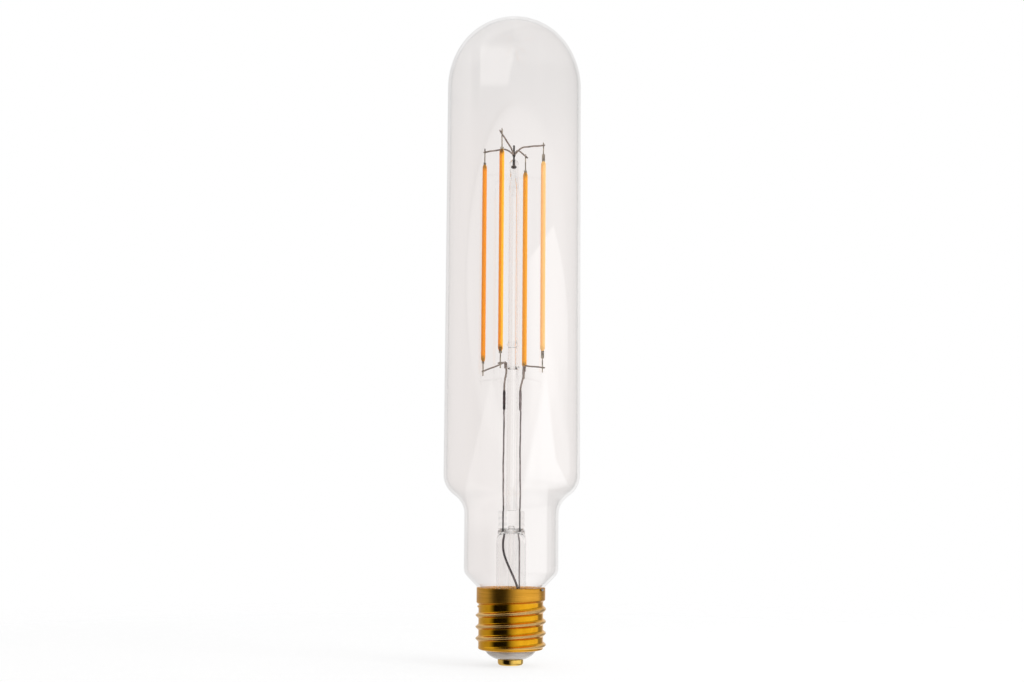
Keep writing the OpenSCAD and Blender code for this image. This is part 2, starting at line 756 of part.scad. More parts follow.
// Short wire that is sealed in the glass of the pinch
module seal_wire(side) {
    color(dark_wire_colour)
        translate([side * lead_side, 0, pinch_bottom])
            cylinder(h = pinch_top - pinch_bottom, r = seal_wire_radius);
}

// Smooth step from 0 to 1
function ease(t) = t * t * (3 - 2 * t);

// Place of an outer lead at a share of its way down: it keeps clear of the exhaust tube
function lead_point(t, from, to, depth, sway) =
    let(swing = ease(min(1, max(0, (t - 0.12) / sway))), step_out = ease(min(1, t / 0.3)))
    [from + (to - from) * swing, depth * step_out,
        pinch_bottom - joint_gap + (lead_bottom - pinch_bottom + joint_gap) * t];

// Curved round wire through a row of points, which never runs along the level direction across its bends
module curved_wire(points, radius, across) {
    last = len(points) - 1;
    headings = [for (i = [0:last])
        let(reach = points[min(last, i + 1)] - points[max(0, i - 1)]) reach / norm(reach)];
    rings = [for (i = [0:last])
        let(side = cross(headings[i], across), u = side / norm(side), v = cross(u, headings[i]))
        for (k = [0:lead_sides - 1])
            points[i] + radius * (cos(360 * k / lead_sides) * u + sin(360 * k / lead_sides) * v)];
    polyhedron(
        points = rings,
        faces = concat(
            [[for (k = [0:lead_sides - 1]) k]],
            [for (i = [0:last - 1], k = [0:lead_sides - 1])
                let(next = (k + 1) % lead_sides)
                [i * lead_sides + k, (i + 1) * lead_sides + k, (i + 1) * lead_sides + next,
                    i * lead_sides + next]],
            [[for (k = [lead_sides - 1:-1:0]) last * lead_sides + k]]));
}

// Thick outer lead from the left of the pinch that swings across to the right
module outer_lead_left() {
    color(dark_wire_colour)
        curved_wire([for (i = [0:lead_steps])
            lead_point(i / lead_steps, -lead_side, lead_end_side, -lead_end_gap, 0.5)],
            left_lead_radius, [0, 1, 0]);
}

// Thin outer lead that runs almost straight down from the right of the pinch
module outer_lead_right() {
    color(wire_colour)
        curved_wire([for (i = [0:lead_steps])
            lead_point(i / lead_steps, lead_side, lead_end_side + right_lead_radius, 0, 0.8)],
            right_lead_radius, [0, 1, 0]);
}

// Height of the thread's crest above its root at a turn angle and a height, from 0 to 1
function thread_lift(angle, height) =
    let(climb = height - thread_start - thread_pitch * angle / 360 + 8.5 * thread_pitch,
        off = abs(climb % thread_pitch - thread_pitch / 2))
    off < thread_crest_width / 2 ? (1 + cos(360 * off / thread_crest_width)) / 2 : 0;

// Share of the full thread depth at a height, which runs out at both ends
function thread_fade(height) =
    ease(min(1, max(0, (height - thread_low) / 1.6))) * ease(min(1, max(0, (thread_high - height) / 1.6)));

// Lowest and highest rows of the thread
thread_low = shell_bottom + 0.9;
thread_high = collar_bottom - 0.5;

// Radius of the outside of the thread at a turn angle and a height
function thread_radius(angle, height) =
    thread_root_radius
    + (thread_crest_radius - thread_root_radius) * thread_lift(angle, height) * thread_fade(height);

// Brass shell with its lip, rolled round thread and plain collar, as one thin closed surface
module screw_shell() {
    heights = [for (i = [0:thread_rows]) thread_low + (thread_high - thread_low) * i / thread_rows];
    // Rows of the outside from the lip upward, then rows of the inside from the collar downward
    outside = concat(
        [for (a = [0:thread_flats - 1]) [lip_radius, shell_bottom]],
        [for (a = [0:thread_flats - 1]) [lip_radius + 1.2, shell_bottom]],
        [for (h = heights, a = [0:thread_flats - 1]) [thread_radius(360 * a / thread_flats, h), h]],
        [for (h = [collar_bottom, collar_top], a = [0:thread_flats - 1]) [collar_radius, h]]);
    inside = concat(
        [for (h = [collar_top, collar_bottom], a = [0:thread_flats - 1])
            [collar_radius - shell_wall, h]],
        [for (i = [thread_rows:-2:0], a = [0:thread_flats - 1])
            [thread_radius(360 * a / thread_flats, heights[i]) - shell_wall,
                i == 0 ? shell_bottom + shell_wall + 0.3 : heights[i]]],
        [for (a = [0:thread_flats - 1]) [lip_radius, shell_bottom + shell_wall]]);
    rows = concat(outside, inside);
    count = len(rows) / thread_flats;
    color(brass_colour)
        polyhedron(
            points = [for (i = [0:len(rows) - 1])
                let(turn = 360 * (i % thread_flats) / thread_flats)
                [rows[i][0] * cos(turn), rows[i][0] * sin(turn), rows[i][1]]],
            faces = [for (r = [0:count - 1], a = [0:thread_flats - 1])
                let(up = (r + 1) % count, next = (a + 1) % thread_flats)
                for (half = [0, 1])
                    half == 0
                    ? [r * thread_flats + a, up * thread_flats + a, up * thread_flats + next]
                    : [r * thread_flats + a, up * thread_flats + next, r * thread_flats + next]]);
}

// Insulator that closes the shell below and holds the contact
module cap_insulator() {
    lip_top = shell_bottom + shell_wall + 0.3 + joint_gap;
    color(ceramic_colour)
        rotate_extrude()
            difference() {
                union() {
                    intersection() {
                        translate([0, shell_bottom])
                            circle(r = insulator_radius);
                        polygon([[0, insulator_bottom], [insulator_tip_radius, insulator_bottom],
                            [insulator_radius - 1.4, shell_bottom - 2.6],
                            [insulator_radius, shell_bottom - 0.4],
                            [insulator_radius, shell_bottom], [0, shell_bottom]]);
                    }
                    translate([0, shell_bottom])
                        square([insulator_radius, lip_top - shell_bottom]);
                    translate([0, lip_top])
                        square([flange_radius, flange_thickness]);
                }
                square([contact_stem_radius + joint_gap, board_height]);
                square([contact_radius - 1, insulator_bottom + 0.5]);
            }
}

// Turned brass button at the bottom of the cap with its stem
module centre_contact() {
    color(brass_colour)
        rotate_extrude() {
            intersection() {
                union() {
                    translate([contact_radius - contact_round, contact_round])
                        circle(r = contact_round);
                    square([contact_radius - contact_round, insulator_bottom - joint_gap]);
                    translate([0, contact_round])
                        square([contact_radius, insulator_bottom - joint_gap - contact_round]);
                }
                square([contact_radius, insulator_bottom - joint_gap]);
            }
            square([contact_stem_radius, contact_stem_top]);
        }
}

// Cement that fixes the glass throat in the shell, with a slot for the soldered wire
module capping_cement() {
    low = throat_bottom + 1.5;
    step = collar_bottom + 2 * joint_gap;
    slot = 4 * cap_wire_radius;
    color(ceramic_colour)
        difference() {
            rotate_extrude() {
                translate([throat_radius + joint_gap, low])
                    square([thread_root_radius - shell_wall - throat_radius - 3 * joint_gap, step - low]);
                translate([throat_radius + joint_gap, step])
                    square([collar_radius - shell_wall - throat_radius - 2 * joint_gap,
                        throat_top - step]);
            }
            rotate([0, 0, solder_turn])
                translate([0, -slot, throat_bottom])
                    cube([2 * collar_radius, 2 * slot, throat_top]);
        }
}

// Drop of solder that joins the wire end to the outside of the collar
module side_solder() {
    color(solder_colour)
        rotate([0, 0, solder_turn])
            difference() {
                translate([collar_radius + solder_radius / 4, 0, collar_top - solder_radius])
                    sphere(r = solder_radius);
                translate([0, 0, collar_top - 3 * solder_radius])
                    cylinder(h = 6 * solder_radius, r = collar_radius + joint_gap);
            }
}

// Round circuit board of the driver
module driver_board() {
    color(board_colour)
        translate([0, 0, board_height])
            cylinder(h = board_thickness, r = board_radius);
}

// Electrolytic capacitor lying on the back of the board
module electrolytic_capacitor() {
    color(black_colour)
        translate([-capacitor_length / 2, board_radius / 2, board_top + capacitor_radius + joint_gap])
            rotate([0, 90, 0])
                cylinder(h = capacitor_length, r = capacitor_radius);
}

// Drum inductor standing on the front of the board
module inductor() {
    color(black_colour)
        translate([-board_radius / 2, -board_radius / 2 + 1, board_top + joint_gap])
            cylinder(h = inductor_height, r = inductor_radius);
}

// Bridge rectifier on the left of the board
module bridge_rectifier() {
    color(black_colour)
        translate([-board_radius + 1.5, -rectifier_size / 2 + 0.5, board_top + joint_gap])
            cube([rectifier_size, rectifier_size - 1.5, rectifier_height]);
}

// Driver chip on the front right of the board
module driver_chip() {
    color(black_colour)
        translate([board_radius / 8, -board_radius / 2 - chip_size / 2, board_top + joint_gap])
            cube([chip_size, chip_size, chip_height]);
}

// Fusible resistor lying on the right of the board
module fuse_resistor() {
    color(ceramic_colour)
        translate([board_radius - 2.5 * fuse_radius, -fuse_length / 2, board_top + fuse_radius + joint_gap])
            rotate([-90, 0, 0])
                cylinder(h = fuse_length, r = fuse_radius);
}

// Short wire from the centre contact to the board
module centre_wire() {
    color(steel_colour)
        translate([0, 0, contact_stem_top + joint_gap])
            cylinder(h = board_height - contact_stem_top - 2 * joint_gap, r = cap_wire_radius);
}

// Wire from the edge of the board up between glass and shell to the solder on the rim
module shell_wire() {
    wire_foot = [board_radius - 2 * cap_wire_radius, 0, board_top + joint_gap];
    wire_low = [shell_wire_place, 0, throat_bottom - 4];
    wire_high = [shell_wire_place, 0, collar_bottom];
    wire_end = [collar_radius - shell_wall - 2 * cap_wire_radius, 0, collar_top - cap_wire_radius];
    color(steel_colour)
        rotate([0, 0, solder_turn])
            curved_wire([wire_foot, wire_low, wire_high, wire_end], cap_wire_radius, [0, 1, 0]);
}

module upper_arm_1() { upper_arm(0); }
module upper_arm_2() { upper_arm(1); }
module upper_arm_3() { upper_arm(2); }
module upper_arm_4() { upper_arm(3); }
module filament_coat_1() { filament_coat(0); }
module filament_coat_2() { filament_coat(1); }
module filament_coat_3() { filament_coat(2); }
module filament_coat_4() { filament_coat(3); }
module filament_strip_1() { filament_strip(0); }
module filament_strip_2() { filament_strip(1); }
module filament_strip_3() { filament_strip(2); }
module filament_strip_4() { filament_strip(3); }
module top_end_1() { top_end(0); }
module top_end_2() { top_end(1); }
module top_end_3() { top_end(2); }
module top_end_4() { top_end(3); }
module bottom_end_1() { bottom_end(0); }
module bottom_end_2() { bottom_end(1); }
module bottom_end_3() { bottom_end(2); }
module bottom_end_4() { bottom_end(3); }
// The left support wire carries the left and front filaments, the right one the back and right filaments
module lower_arm_1() { lower_arm(0, 0); }
module lower_arm_2() { lower_arm(1, 0); }
module lower_arm_3() { lower_arm(2, 1); }
module lower_arm_4() { lower_arm(3, 1); }
module support_wire_left() { support_wire(0); }
module support_wire_right() { support_wire(1); }
module splice_left() { splice(-1, dark_wire_colour); }
module splice_right() { splice(1, wire_colour); }
module inner_lead_left() { inner_lead(-1); }
module inner_lead_right() { inner_lead(1); }
module seal_wire_left() { seal_wire(-1); }
module seal_wire_right() { seal_wire(1); }

envelope();
stem_flare();
exhaust_tube();
stem_column();
inner_tube();
hub_wire();
upper_arm_1();
upper_arm_2();
upper_arm_3();
upper_arm_4();
filament_coat_1();
filament_coat_2();
filament_coat_3();
filament_coat_4();
filament_strip_1();
filament_strip_2();
filament_strip_3();
filament_strip_4();
top_end_1();
top_end_2();
top_end_3();
top_end_4();
bottom_end_1();
bottom_end_2();
bottom_end_3();
bottom_end_4();
lower_arm_1();
lower_arm_2();
lower_arm_3();
lower_arm_4();
support_wire_left();
support_wire_right();
splice_left();
splice_right();
inner_lead_left();
inner_lead_right();
seal_wire_left();
seal_wire_right();
outer_lead_left();
outer_lead_right();
screw_shell();
cap_insulator();
centre_contact();
capping_cement();
side_solder();
driver_board();
electrolytic_capacitor();
inductor();
bridge_rectifier();
driver_chip();
fuse_resistor();
centre_wire();
shell_wire();
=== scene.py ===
# Tubular filament lamp on white. Metres, +Z up, the contact's tip at the origin.
import math
import bpy
import numpy as np
from mathutils import Matrix, Vector


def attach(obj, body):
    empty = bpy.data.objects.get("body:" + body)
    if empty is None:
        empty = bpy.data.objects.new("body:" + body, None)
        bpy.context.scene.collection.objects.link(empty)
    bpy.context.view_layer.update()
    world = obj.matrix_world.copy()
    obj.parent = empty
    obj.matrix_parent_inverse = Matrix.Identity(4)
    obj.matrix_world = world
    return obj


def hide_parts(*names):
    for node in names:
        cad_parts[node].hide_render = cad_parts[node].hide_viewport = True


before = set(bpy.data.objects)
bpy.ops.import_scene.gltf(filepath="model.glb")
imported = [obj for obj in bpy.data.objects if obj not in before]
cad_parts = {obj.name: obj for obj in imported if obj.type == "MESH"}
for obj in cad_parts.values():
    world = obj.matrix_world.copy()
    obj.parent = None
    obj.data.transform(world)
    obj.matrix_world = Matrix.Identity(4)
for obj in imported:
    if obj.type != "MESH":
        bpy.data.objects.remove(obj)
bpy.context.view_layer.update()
scene = bpy.context.scene
mm = 0.001
print("frame loaded:", len(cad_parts), "nodes")

# The photo was taken from low down with a large vertical shift, which would cut the lamp off in other views.
# So this camera looks up a little and has a small shift. Lengths in mm, angles in degrees.
cameraFacts = dict(distance=850, eyeHeight=79.7, lookUp=6.0, lens=53.156, shift=0.02, side=-0.3, roll=0.4)


# Camera on the lamp's -Y side: moved, then tilted up, then rolled about its own sight line
def makeCamera(facts):
    data = bpy.data.cameras.new("photoCamera")
    data.lens = facts["lens"]
    data.sensor_width = 36
    data.shift_y = facts["shift"]
    data.clip_start, data.clip_end = 0.05, 50
    camera = bpy.data.objects.new("photoCamera", data)
    scene.collection.objects.link(camera)
    move = Matrix.Translation((facts["side"] * mm, -facts["distance"] * mm, facts["eyeHeight"] * mm))
    look = Matrix.Rotation(math.radians(90 + facts["lookUp"]), 4, "X")
    roll = Matrix.Rotation(math.radians(facts["roll"]), 4, "Z")
    camera.matrix_world = move @ look @ roll
    scene.camera = camera


makeCamera(cameraFacts)


# Shapes: every piece is a grid of points in mm, rows along the piece and columns round it

# Points on a circle arc in the plane of radius and height, angles in degrees from the level
def arc(centreR, centreZ, radius, fromAngle, toAngle, steps):
    angles = np.radians(np.linspace(fromAngle, toAngle, steps + 1))
    return np.stack([centreR + radius * np.cos(angles), centreZ + radius * np.sin(angles)], axis=1)


# Points on a straight line, both ends included
def line(start, end, steps):
    t = np.linspace(0, 1, steps + 1)[:, None]
    return np.array(start) * (1 - t) + np.array(end) * t


# Three t squared less two t cubed: climbs from 0 to 1 and is level at both ends
def smoothStep(t):
    t = np.clip(t, 0, 1)
    return t * t * (3 - 2 * t)


# The size of each value to a power, with its own sign: turns a circle into an oval or a rounded box
def signedPower(value, power):
    return np.sign(value) * np.abs(value) ** power


# Angles of a full turn in radians, without the last, which would be the first again
def fullTurn(columns):
    return np.linspace(0, 2 * np.pi, columns, endpoint=False)


# Points at radius and height, turned round the axis: x is radius times cosine, y is radius times sine
def polar(radius, turn, height):
    return np.stack(np.broadcast_arrays(radius * np.cos(turn), radius * np.sin(turn), height), axis=-1)


# Matrix that turns points about the upright axis
def turnMatrix(angle):
    c, s = math.cos(angle), math.sin(angle)
    return np.array([[c, -s, 0], [s, c, 0], [0, 0, 1]])


# Closed surface over grid[row, column], its columns joined round. Poles close the first and last row, or loop
# joins these two. Gives the points in metres, the faces, and where each corner lies: shares round and along.
def gridSurface(grid, startPole=None, endPole=None, loop=False):
    rows, columns = grid.shape[:2]
    points = grid.reshape(-1, 3)
    i, j = np.meshgrid(np.arange(rows if loop else rows - 1), np.arange(columns), indexing="ij")
    nextI, nextJ = (i + 1) % rows, (j + 1) % columns
    quads = np.stack([i * columns + j, nextI * columns + j, nextI * columns + nextJ, i * columns + nextJ],
                     axis=-1).reshape(-1, 4)
    shares = np.stack([np.stack([j, i], -1), np.stack([j, i + 1], -1), np.stack([j + 1, i + 1], -1),
                       np.stack([j + 1, i], -1)], axis=2).reshape(-1, 4, 2) / [columns, max(rows - 1, 1)]
    faces, uvs = [quads], [shares]
    for pole, row, atEnd in ((startPole, 0, False), (endPole, rows - 1, True)):
        if pole is None:
            continue
        tip = np.full(columns, len(points))
        points = np.vstack([points, np.array(pole)[None]])
        ring = row * columns + np.arange(columns)
        around = row * columns + (np.arange(columns) + 1) % columns
        faces.append(np.stack([ring, tip, around] if atEnd else [tip, ring, around], axis=1))
        uvs.append(np.tile([0.5, float(atEnd)], (columns, 3, 1)))
    # Signed volume by the divergence of the quads' two halves; a negative one means inside out
    a, b, c, d = (points[quads[:, k]] for k in range(4))
    volume = (np.einsum("ij,ij->i", a, np.cross(b, c)) + np.einsum("ij,ij->i", a, np.cross(c, d))).sum()
    if volume < 0:
        faces, uvs = [face[:, ::-1] for face in faces], [uv[:, ::-1] for uv in uvs]
    return points * mm, faces, uvs


# One smooth shaded mesh from closed surfaces, whose points and faces follow one another
def makeMesh(name, surfaces):
    corners, counts, uvs, shift = [], [], [], 0
    for points, faces, shares in surfaces:
        corners += [face.ravel() + shift for face in faces]
        counts += [np.full(len(face), face.shape[1]) for face in faces]
        uvs += [share.reshape(-1, 2) for share in shares]
        shift += len(points)
    points = np.concatenate([surface[0] for surface in surfaces])
    corners, counts, uvs = (np.concatenate(part) for part in (corners, counts, uvs))
    mesh = bpy.data.meshes.new(name)
    mesh.vertices.add(len(points))
    mesh.vertices.foreach_set("co", points.ravel().astype(np.float32))
    mesh.loops.add(len(corners))
    mesh.loops.foreach_set("vertex_index", corners.astype(np.int32))
    mesh.polygons.add(len(counts))
    mesh.polygons.foreach_set("loop_start", (np.cumsum(counts) - counts).astype(np.int32))
    mesh.polygons.foreach_set("use_smooth", np.ones(len(counts), bool))
    mesh.uv_layers.new(name="around").data.foreach_set("uv", uvs.ravel().astype(np.float32))
    mesh.update()
    mesh.validate()
    return mesh


# Puts closed surfaces in the scene as one piece on the lamp's body, in place of the CAD node it stands for
def addPiece(name, surfaces, material, node):
    piece = bpy.data.objects.new(name, makeMesh(name, surfaces))
    scene.collection.objects.link(piece)
    piece.data.materials.append(material)
    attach(piece, "root")
    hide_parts(node)


# Grid from a profile of radius and height, turned once round the axis
def revolve(profile, columns):
    return polar(profile[:, 0:1], fullTurn(columns), profile[:, 1:2])


# Round tube along a path: rings square to the path, kept from twisting, with rounded ends. Gives the grid and
# its two poles.
def sweep(path, radius, sides=20):
    path = np.asarray(path, float)
    radius = np.broadcast_to(np.asarray(radius, float), len(path)).copy()
    heading = np.gradient(path, axis=0)
    heading /= np.linalg.norm(heading, axis=1, keepdims=True)
    # Each end gets four more rings on a quarter circle
    turn = np.radians([78, 55, 30, 10])
    first = path[0] - heading[0] * radius[0] * np.sin(turn)[:, None]
    last = path[-1] + heading[-1] * radius[-1] * np.sin(turn[::-1])[:, None]
    path = np.vstack([first, path, last])
    heading = np.vstack([np.tile(heading[0], (4, 1)), heading, np.tile(heading[-1], (4, 1))])
    radius = np.concatenate([radius[0] * np.cos(turn), radius, radius[-1] * np.cos(turn[::-1])])
    # Sideways is square to the heading and to a direction that the path never takes
    reference = np.array([0.0, 1.0, 0.0]) if abs(heading[:, 1]).max() < 0.9 else np.array([0.31, 0.05, 0.95])
    side = np.cross(heading, reference)
    side /= np.linalg.norm(side, axis=1, keepdims=True)
    up = np.cross(side, heading)
    angles = fullTurn(sides)
    ring = side[:, None] * np.cos(angles)[None, :, None] + up[:, None] * np.sin(angles)[None, :, None]
    return path[:, None] + ring * radius[:, None, None], path[0], path[-1]


# A swept tube as one piece
def wirePiece(name, path, radius, material, slot, node):
    addPiece(name, [gridSurface(*sweep(path, radius))], material, node)


# Materials

# A socket with the arithmetic of Math nodes on it
class Wire:
    def __init__(self, tree, socket):
        self.tree, self.socket = tree, socket

    # A Math node on this wire and a second wire or number; flipped puts the second one first
    def maths(self, operation, second=None, flipped=False):
        node = self.tree.nodes.new("ShaderNodeMath")
        node.operation = operation
        for place, value in enumerate((second, self) if flipped else (self, second)):
            if isinstance(value, Wire):
                self.tree.links.new(value.socket, node.inputs[place])
            elif value is not None:
                node.inputs[place].default_value = value
        return Wire(self.tree, node.outputs[0])

    def __add__(self, other): return self.maths("ADD", other)
    def __radd__(self, other): return self.maths("ADD", other, True)
    def __sub__(self, other): return self.maths("SUBTRACT", other)
    def __rsub__(self, other): return self.maths("SUBTRACT", other, True)
    def __mul__(self, other): return self.maths("MULTIPLY", other)
    def __rmul__(self, other): return self.maths("MULTIPLY", other, True)
    def __truediv__(self, other): return self.maths("DIVIDE", other)
    def __gt__(self, other): return self.maths("GREATER_THAN", other)
    def __abs__(self): return self.maths("ABSOLUTE")
    def sin(self): return self.maths("SINE")


# A material or the world under construction, with one method for any node
class Finish:
    def __init__(self, name, kind="Material"):
        self.owner = (bpy.data.worlds if kind == "World" else bpy.data.materials).new(name)
        self.owner.use_nodes = True
        self.tree = self.owner.node_tree
        self.tree.nodes.clear()
        self.output = self.tree.nodes.new("ShaderNodeOutput" + kind)

    # Adds a node: settings first, then values or links of its sockets, named with underscores for spaces, or
    # by their place as i0, i1. Gives one output, by place or name.
    def node(self, kind, settings=None, output=0, **sockets):
        node = self.tree.nodes.new("ShaderNode" + kind)
        for key, value in (settings or {}).items():
            if key == "stops":
                while len(node.color_ramp.elements) < len(value):
                    node.color_ramp.elements.new(0.5)
                for element, (place, colour) in zip(node.color_ramp.elements, value):
                    element.position = place
                    element.color = (*colour, 1)
            else:
                setattr(node, key, value)
        for key, value in sockets.items():
            byPlace = key[0] == "i" and key[1:].isdigit()
            socket = node.inputs[int(key[1:]) if byPlace else key.replace("_", " ")]
            if isinstance(value, Wire):
                self.tree.links.new(value.socket, socket)
            elif isinstance(value, tuple) and len(value) == 3 and len(socket.default_value) == 4:
                socket.default_value = (*value, 1)
            else:
                socket.default_value = value
        return Wire(self.tree, node.outputs[output])

    # Several outputs of one node, by name
    def outputs(self, kind, *names, **sockets):
        node = self.node(kind, **sockets).socket.node
        return [Wire(self.tree, node.outputs[name]) for name in names]

    # Axes of the piece's own coordinates, or of the world's directions
    def axes(self, *names, source="Object"):
        return self.outputs("SeparateXYZ", *names, Vector=self.node("TexCoord", output=source))

    def noise(self, scale, detail=3.0, rough=0.5, stretch=(1, 1, 1)):
        place = self.node("Mapping", Vector=self.node("TexCoord", output="Object"), Scale=stretch)
        return self.node("TexNoise", Vector=place, Scale=scale, Detail=detail, Roughness=rough)

    # Straight or smooth climb from low to high while the value goes from start to end
    def climb(self, value, start, end, low=0.0, high=1.0, curve="LINEAR"):
        return self.node("MapRange", dict(interpolation_type=curve), Value=value, From_Min=start,
                         From_Max=end, To_Min=low, To_Max=high)

    def ramp(self, value, stops):
        return self.node("ValToRGB", dict(stops=stops), Fac=value)

    # Black up to one value, white from another
    def contrast(self, value, black, white):
        return self.ramp(value, [(black, (0, 0, 0)), (white, (1, 1, 1))])

    def mix(self, factor, first, second):
        return self.node("Mix", dict(data_type="RGBA"), 2, i0=factor, i6=first, i7=second)

    def mixShader(self, factor, first, second):
        return self.node("MixShader", i0=factor, i1=first, i2=second)

    def bump(self, height, strength):
        return self.node("Bump", Height=height, Strength=strength, Distance=0.1 * mm)

    # Links the shader to the output; what it belongs to is ready then
    def finish(self, shader):
        self.tree.links.new(shader.socket, self.output.inputs["Surface"])
        return self.owner

    def principled(self, **sockets):
        return self.finish(self.node("BsdfPrincipled", **sockets))


# Clear thin glass: light goes nearly straight through and its skin reflects; its colour is painted greyer at
# edges seen flat on, painted shade.
# Seal is the height, in metres, at which oxide is smoked into it beside the wires.
def glassFinish(name, tint, edge, bend, skin=0.0, seal=None):
    f = Finish(name)
    streaks = f.noise(150, 3, 0.6, (1, 1, 0.03))  # faint and upright, from drawing the tube
    # Painted shade: the colour turns to the edge tone where the surface is seen flat on
    flat = f.node("LayerWeight", output="Facing", Blend=0.32).maths("POWER", 4.0)
    colour = f.mix(flat + 0.22 * (streaks - 0.45), tint, edge)
    if seal:
        x, z = f.axes("X", "Z")
        bow = abs(abs(x) - 4.2 * mm) * 0.3
        ring = f.climb(abs(z - seal + bow), 0.9 * mm, 0.3 * mm)
        near = f.climb(abs(x), 1.5 * mm, 3.8 * mm, 0.25)
        colour = f.mix(ring * near * (0.65 + 0.5 * f.noise(700, 3, 0.6)), colour, (0.09, 0.075, 0.065))
    glass = f.node("BsdfPrincipled", Base_Color=colour, Roughness=0.0, IOR=bend, Transmission_Weight=1.0,
                   Coat_Weight=skin, Coat_IOR=1.5, Coat_Roughness=0.0)
    through = f.node("BsdfTransparent", Color=(0.93, 0.93, 0.93))
    return f.finish(f.mixShader(f.node("LightPath", output="Is Shadow Ray"), glass, through))


# Wire or sheet metal with a mottled oxide and a fine grain
def metalFinish(name, dark, light, grain, roughness, bump=0.15):
    f = Finish(name)
    mottle = f.noise(grain, 5, 0.6)
    return f.principled(Base_Color=f.mix(f.contrast(mottle, 0.35, 0.68), dark, light), Metallic=1.0,
                        Roughness=roughness + 0.18 * (mottle - 0.5),
                        Normal=f.bump(f.noise(grain * 6, 3, 0.6), bump))


# Silicone with phosphor, speckled, darker over the metal ends; its left flank is painted in a deep tone and
# its right flank in a pale tone, painted shade and painted light.
# Low and high are the coat's ends in metres.
def phosphorFinish(name, coat, turn, low, high):
    f = Finish(name)
    share = f.node("SeparateXYZ", Vector=f.node("UVMap", dict(uv_map="around")))
    # The coat's seam is at its own turn, so the right, lit flank lies this share of a turn further on
    right = -(turn + coat["spin"]) / 360 - 0.25
    # Painted light and shade: this mask is 1 on the lit right flank and 0 on the shaded left flank
    litSide = 0.5 + 0.5 * ((share - right) * (2 * math.pi)).sin()
    speck = f.noise(2600, 3, 0.6)
    cloud = f.noise(160, 3, 0.6, (1, 1, 0.35))
    # The deep and pale tones are painted shade and painted light, broken up by clouds of real tone
    tones = f.contrast(litSide + cloud * 0.3 - 0.15, 0.5 - coat["blend"] / 2, 0.5 + coat["blend"] / 2)
    colour = f.mix(tones, coat["deep"], coat["pale"])
    colour = f.mix(0.22 * (speck > 0.57), colour, tuple(0.75 * c for c in coat["deep"]))
    # The metal end inside shows as a dark core on the front and back
    z = f.axes("Z")[0]
    inward = (high - low) / 2 - abs(z - (low + high) / 2)
    facing = abs(((share - right + 0.25) * (2 * math.pi)).sin())
    tail = f.climb(inward + cloud * (1.6 * mm), 2.4 * mm, 4.6 * mm, 1.0, 0.0)
    colour = f.mix(tail * f.climb(facing, 0.35, 0.95, 0.15, 0.9), colour, coat["tail"])
    # Painted glow: the coat gives off a little light of its own colour, standing in for the part of the white
    # light that the phosphor gives back as orange light
    return f.principled(Base_Color=colour, Roughness=0.42 + 0.2 * (speck - 0.5), Specular_IOR_Level=0.08,
                        Subsurface_Weight=0.1, Subsurface_Radius=(1.2 * mm, 0.6 * mm, 0.2 * mm),
                        Subsurface_Scale=1.0, Emission_Color=colour, Emission_Strength=0.16,
                        Normal=f.bump(speck * 0.6 + cloud, 0.2))


# Rolled brass: satin band above, bright thread below with pale crests and dull stains; the crests' pale tone
# is partly rubbed wear and partly a painted highlight
def brassCapFinish():
    f = Finish("capBrass")
    x, y, z = f.axes("X", "Y", "Z")
    collar = f.climb(z, 34.0 * mm, 34.6 * mm)
    crest = f.climb((x * x + y * y).maths("SQRT"), 18.6 * mm, 19.5 * mm)
    stain = f.noise(95, 5, 0.65)
    turned = f.noise(60, 3, 0.6, (1, 1, 26))
    speck = f.noise(900, 2, 0.5)
    bright = f.mix(f.contrast(stain, 0.38, 0.66), (0.78, 0.355, 0.010), (0.94, 0.47, 0.018))
    # Pale crests: partly rubbed wear, partly a painted highlight where the convex crests catch the light
    crestWearAndHighlight = f.mix(crest * (1 - collar) * 0.6, bright, (0.86, 0.64, 0.35))
    band = f.mix(f.contrast(turned, 0.35, 0.7), (0.71, 0.33, 0.030), (0.94, 0.47, 0.060))
    return f.principled(Base_Color=f.mix(collar, crestWearAndHighlight, band), Metallic=1.0,
                        Roughness=0.09 + 0.10 * stain + 0.12 * crest + 0.12 * collar,
                        Normal=f.bump(turned * 0.5 + speck * 0.3 + stain * 0.6, 0.12))


# Moulded or ceramic stuff with faint clouds and pores, and a glassy coat where it is glazed
def plainFinish(name, first, second, scale, roughness, bump=0.15, specular=0.5, glaze=0.0):
    f = Finish(name)
    cloud = f.noise(scale, 4, 0.6)
    return f.principled(Base_Color=f.mix(cloud, first, second), Roughness=roughness + 0.15 * (cloud - 0.5),
                        Specular_IOR_Level=specular, Coat_Weight=glaze, Coat_IOR=2.0, Coat_Roughness=0.12,
                        Normal=f.bump(f.noise(scale * 14, 2, 0.5), bump))


# Glass: tint, painted shade tone of its edges, refraction, strength of the mirror skin
bulbGlass = glassFinish("bulbGlass", (0.99, 0.975, 0.968), (0.80, 0.78, 0.77), 1.002, 1.0)
stemGlass = glassFinish("stemGlass", (1.0, 0.998, 0.995), (0.93, 0.91, 0.90), 1.33)
flareGlass = glassFinish("flareGlass", (1.0, 0.998, 0.995), (0.93, 0.91, 0.90), 1.33, seal=74.4 * mm)
columnGlass = glassFinish("columnGlass", (1.0, 0.998, 0.995), (0.90, 0.87, 0.85), 1.14)
tubeGlass = glassFinish("tubeGlass", (1.0, 0.998, 0.995), (0.86, 0.82, 0.79), 1.42)
